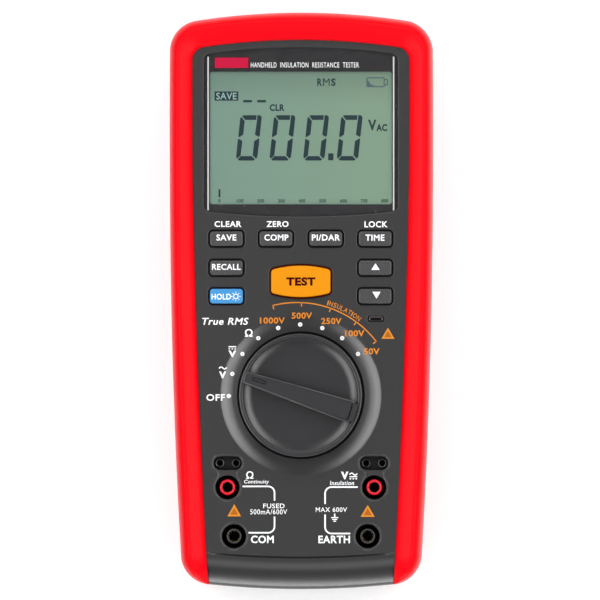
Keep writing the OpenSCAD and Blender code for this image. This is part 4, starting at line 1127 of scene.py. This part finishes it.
# ---------------------------------------------------------------- indicator window
# A smoked window with a lamp under it, seated in its slot a little below the panel.
SMOKED = moulded("lamp_window", (0.006, 0.004, 0.004), 0.12, grain=1.5, bump=0.03, tint=0.2)
top = LAMP_MID[2] + LAMP_SIZE[2] / 2
dome = [(-0.02, LOWER_Z), (-0.02, top - 0.55), (-0.12, top - 0.35), (-0.35, top - 0.18), (-0.65, top - 0.07),
        (-0.95, top - 0.02)]
piece("lamp_pane", [solid(lamp_outline, dome)], SMOKED, "case", ["status_window"])


# ---------------------------------------------------------------- printing round the sockets
# Brackets that pair the sockets, the names of the inputs and an earth sign, all in white.
RIGHT_LINE, LEFT_LINE, BEND, BRACKET_LINE = 9.45, -10.26, 2.5, 0.58
SIGN_X, EARTH_X = 20.47, 13.2


def bracket(x, inner, sign, top_y, gap_top, gap_low, low_y, low_inner):
    """The two halves of a bracket: a level line that bends by a quarter circle into an upright one."""
    up = arc(x + sign * BEND, top_y - BEND, BEND, 90, 180 if sign > 0 else 0, 12)
    down = arc(x + sign * BEND, low_y + BEND, BEND, 270, 180 if sign > 0 else 360, 12)
    return [stroke(np.concatenate([[(inner, top_y)], up, [(x, gap_top)]]), BRACKET_LINE),
            stroke(np.concatenate([[(low_inner, low_y)], down, [(x, gap_low)]]), BRACKET_LINE)]


signs = bracket(LEFT_LINE, -22.7, -1, -72.23, -77.8, -84.0, -90.3, -20.4)
signs += bracket(RIGHT_LINE, 22.2, 1, -72.5, -79.1, -83.2, -90.6, 19.3)
signs += [
    lettering("Ω", (-19.9, -67.8), (2.8, 2.9), PANEL_Z, weight=0.015),
    lettering("Continuity", (-17.3, -70.6), (9.7, 1.9), PANEL_Z, slant=0.12, weight=0.012),
    lettering("FUSED", (-10.5, -79.85), (8.3, 1.85), PANEL_Z, weight=0.008),
    lettering("500mA/600V", (-12.55, -82.15), (14.4, 1.95), PANEL_Z),
    lettering("COM", (-15.0, -92.9), (8.9, 2.95), PANEL_Z, weight=0.025),
    lettering("V", (17.1, -68.0), (2.9, 3.0), PANEL_Z, weight=0.05),
    lettering("Insulation", (16.1, -70.9), (9.3, 1.7), PANEL_Z, slant=0.12, weight=0.012),
    lettering("MAX 600V", (11.9, -81.3), (12.2, 1.8), PANEL_Z, weight=0.005),
    lettering("EARTH", (13.0, -92.9), (12.3, 2.95), PANEL_Z, weight=0.025),
]
bars = [(SIGN_X, -68.45, 3.0, 0.38, 0.08), (EARTH_X, -83.6, 0.5, 1.5, 0.08)]
bars += [(SIGN_X + d, -69.25, 0.6, 0.5, 0.1) for d in DASHES]
bars += [(EARTH_X, y, wide, 0.42, 0.08) for y, wide in ((-84.4, 2.8), (-85.1, 1.9), (-85.8, 1.0))]
signs += [prism(round_rect(*bar), PANEL_Z, PANEL_Z + FILM) for bar in bars]
signs.append(wave_line(SIGN_X, -67.45, 0.4))
piece("socket_legends", signs, WHITE, "case")


# ---------------------------------------------------------------- rear cover, door and stand
# The hard back of the case, with a screwed battery door and a tilt stand that swings on a steel pin.
# They keep their imported shapes; on the door and the stand a small bevel stands for the radius the mould
# leaves on each edge.
REAR_GREY = moulded("rear_grey", (0.03, 0.0295, 0.03), 0.46, grain=0.3, bump=0.4, tint=0.06)


def dress(name, material, bevel=0.0):
    """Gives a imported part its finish, and a rounded edge of that width in mm."""
    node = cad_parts[name]
    node.data.materials.clear()
    node.data.materials.append(material)
    if bevel:
        soft = node.modifiers.new("soft_edge", "BEVEL")
        soft.width = bevel * MM
        soft.segments = 2
        soft.limit_method = "ANGLE"
        soft.angle_limit = math.radians(50)
        soft.harden_normals = False


for name, bevel in (("rear_cover", 0.0), ("battery_door", 0.3), ("tilt_stand", 0.35)):
    dress(name, REAR_GREY, bevel)
STEEL = moulded("screw_steel", (0.5, 0.5, 0.51), 0.3, grain=0.25, bump=0.1, tint=0.06, Metallic=1.0)
RUBBER = moulded("black_rubber", (0.012, 0.012, 0.0125), 0.7, grain=0.25, bump=0.3, tint=0.1)
for name in ("case_screws", "door_screws", "stand_pin"):
    dress(name, STEEL)
for name in ("rubber_feet", "case_seal", "door_seal"):
    dress(name, RUBBER)


# ---------------------------------------------------------------- display and key parts inside
# What sits behind the panel: the light guide and frame of the display, its zebra strip, the rubber
# membrane under the keys and the lamp of the indicator.
GUIDE = moulded("light_guide", (0.8, 0.82, 0.8), 0.35, grain=0.6, bump=0.05, tint=0.02)
ZEBRA = moulded("zebra_rubber", (0.5, 0.14, 0.18), 0.6, grain=0.2, bump=0.1)
MEMBRANE = moulded("membrane_rubber", (0.6, 0.6, 0.58), 0.6, grain=0.4, bump=0.1)
LAMP = moulded("led_resin", (0.7, 0.2, 0.12), 0.25, grain=0.5, bump=0.02)
for name, material in (("lcd_backlight", GUIDE), ("lcd_frame", BLACK), ("zebra_strip", ZEBRA),
                       ("keypad_membrane", MEMBRANE), ("status_led", LAMP)):
    dress(name, material)


# ---------------------------------------------------------------- circuit board and its parts
# A green glass-epoxy board with the measuring chips, the high voltage transformer and its capacitors,
# the range relay, the buzzer and the ceramic input fuse in its clips.
BOARD = moulded("board_green", (0.02, 0.12, 0.05), 0.35, grain=0.6, bump=0.1, tint=0.2)
CHIP = moulded("chip_epoxy", (0.012, 0.012, 0.013), 0.5, grain=0.2, bump=0.1)
COPPER = moulded("winding_copper", (0.6, 0.3, 0.08), 0.35, grain=0.25, bump=0.4, tint=0.15)
BLUE_CAN = moulded("capacitor_blue", (0.012, 0.03, 0.2), 0.3, grain=0.8, bump=0.03)
RELAY = moulded("relay_white", (0.65, 0.65, 0.62), 0.4, grain=0.4, bump=0.05)
CERAMIC = moulded("fuse_ceramic", (0.75, 0.75, 0.7), 0.3, grain=0.5, bump=0.05)
SPRING = moulded("spring_steel", (0.55, 0.55, 0.56), 0.28, grain=0.2, bump=0.05, Metallic=1.0)
BRASS = moulded("contact_brass", (0.58, 0.4, 0.13), 0.3, grain=0.2, bump=0.05, Metallic=1.0)
for name, material in (("main_board", BOARD), ("processor_chips", CHIP), ("hv_transformer", COPPER),
                       ("hv_capacitors", BLUE_CAN), ("range_relay", RELAY), ("buzzer", CHIP),
                       ("input_fuse", CERAMIC), ("fuse_clips", SPRING), ("jack_contacts", BRASS)):
    dress(name, material)


# ---------------------------------------------------------------- range switch under the knob
# A cream rotor with brass wipers that sweep the board, and two sprung steel balls that click into the
# notched ring at each position.
CREAM = moulded("rotor_cream", (0.68, 0.63, 0.5), 0.45, grain=0.4, bump=0.08)
for name, material in (("detent_ring", SPRING), ("switch_rotor", CREAM), ("switch_wipers", BRASS),
                       ("detent_balls", SPRING), ("detent_springs", SPRING)):
    dress(name, material)


# ---------------------------------------------------------------- batteries
# Four AA cells in a black box behind the door, between coned springs and flat plates.
JACKET = moulded("cell_jacket", (0.03, 0.03, 0.035), 0.25, grain=2, bump=0.02, tint=0.1)
for k in range(1, 5):
    dress("aa_cell_%d" % k, JACKET)
for name, material in (("battery_box", BLACK), ("battery_springs", SPRING), ("battery_plates", SPRING)):
    dress(name, material)


size = {"cad": [list(v) for v in cad_box], "visual": [list(v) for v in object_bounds()]}
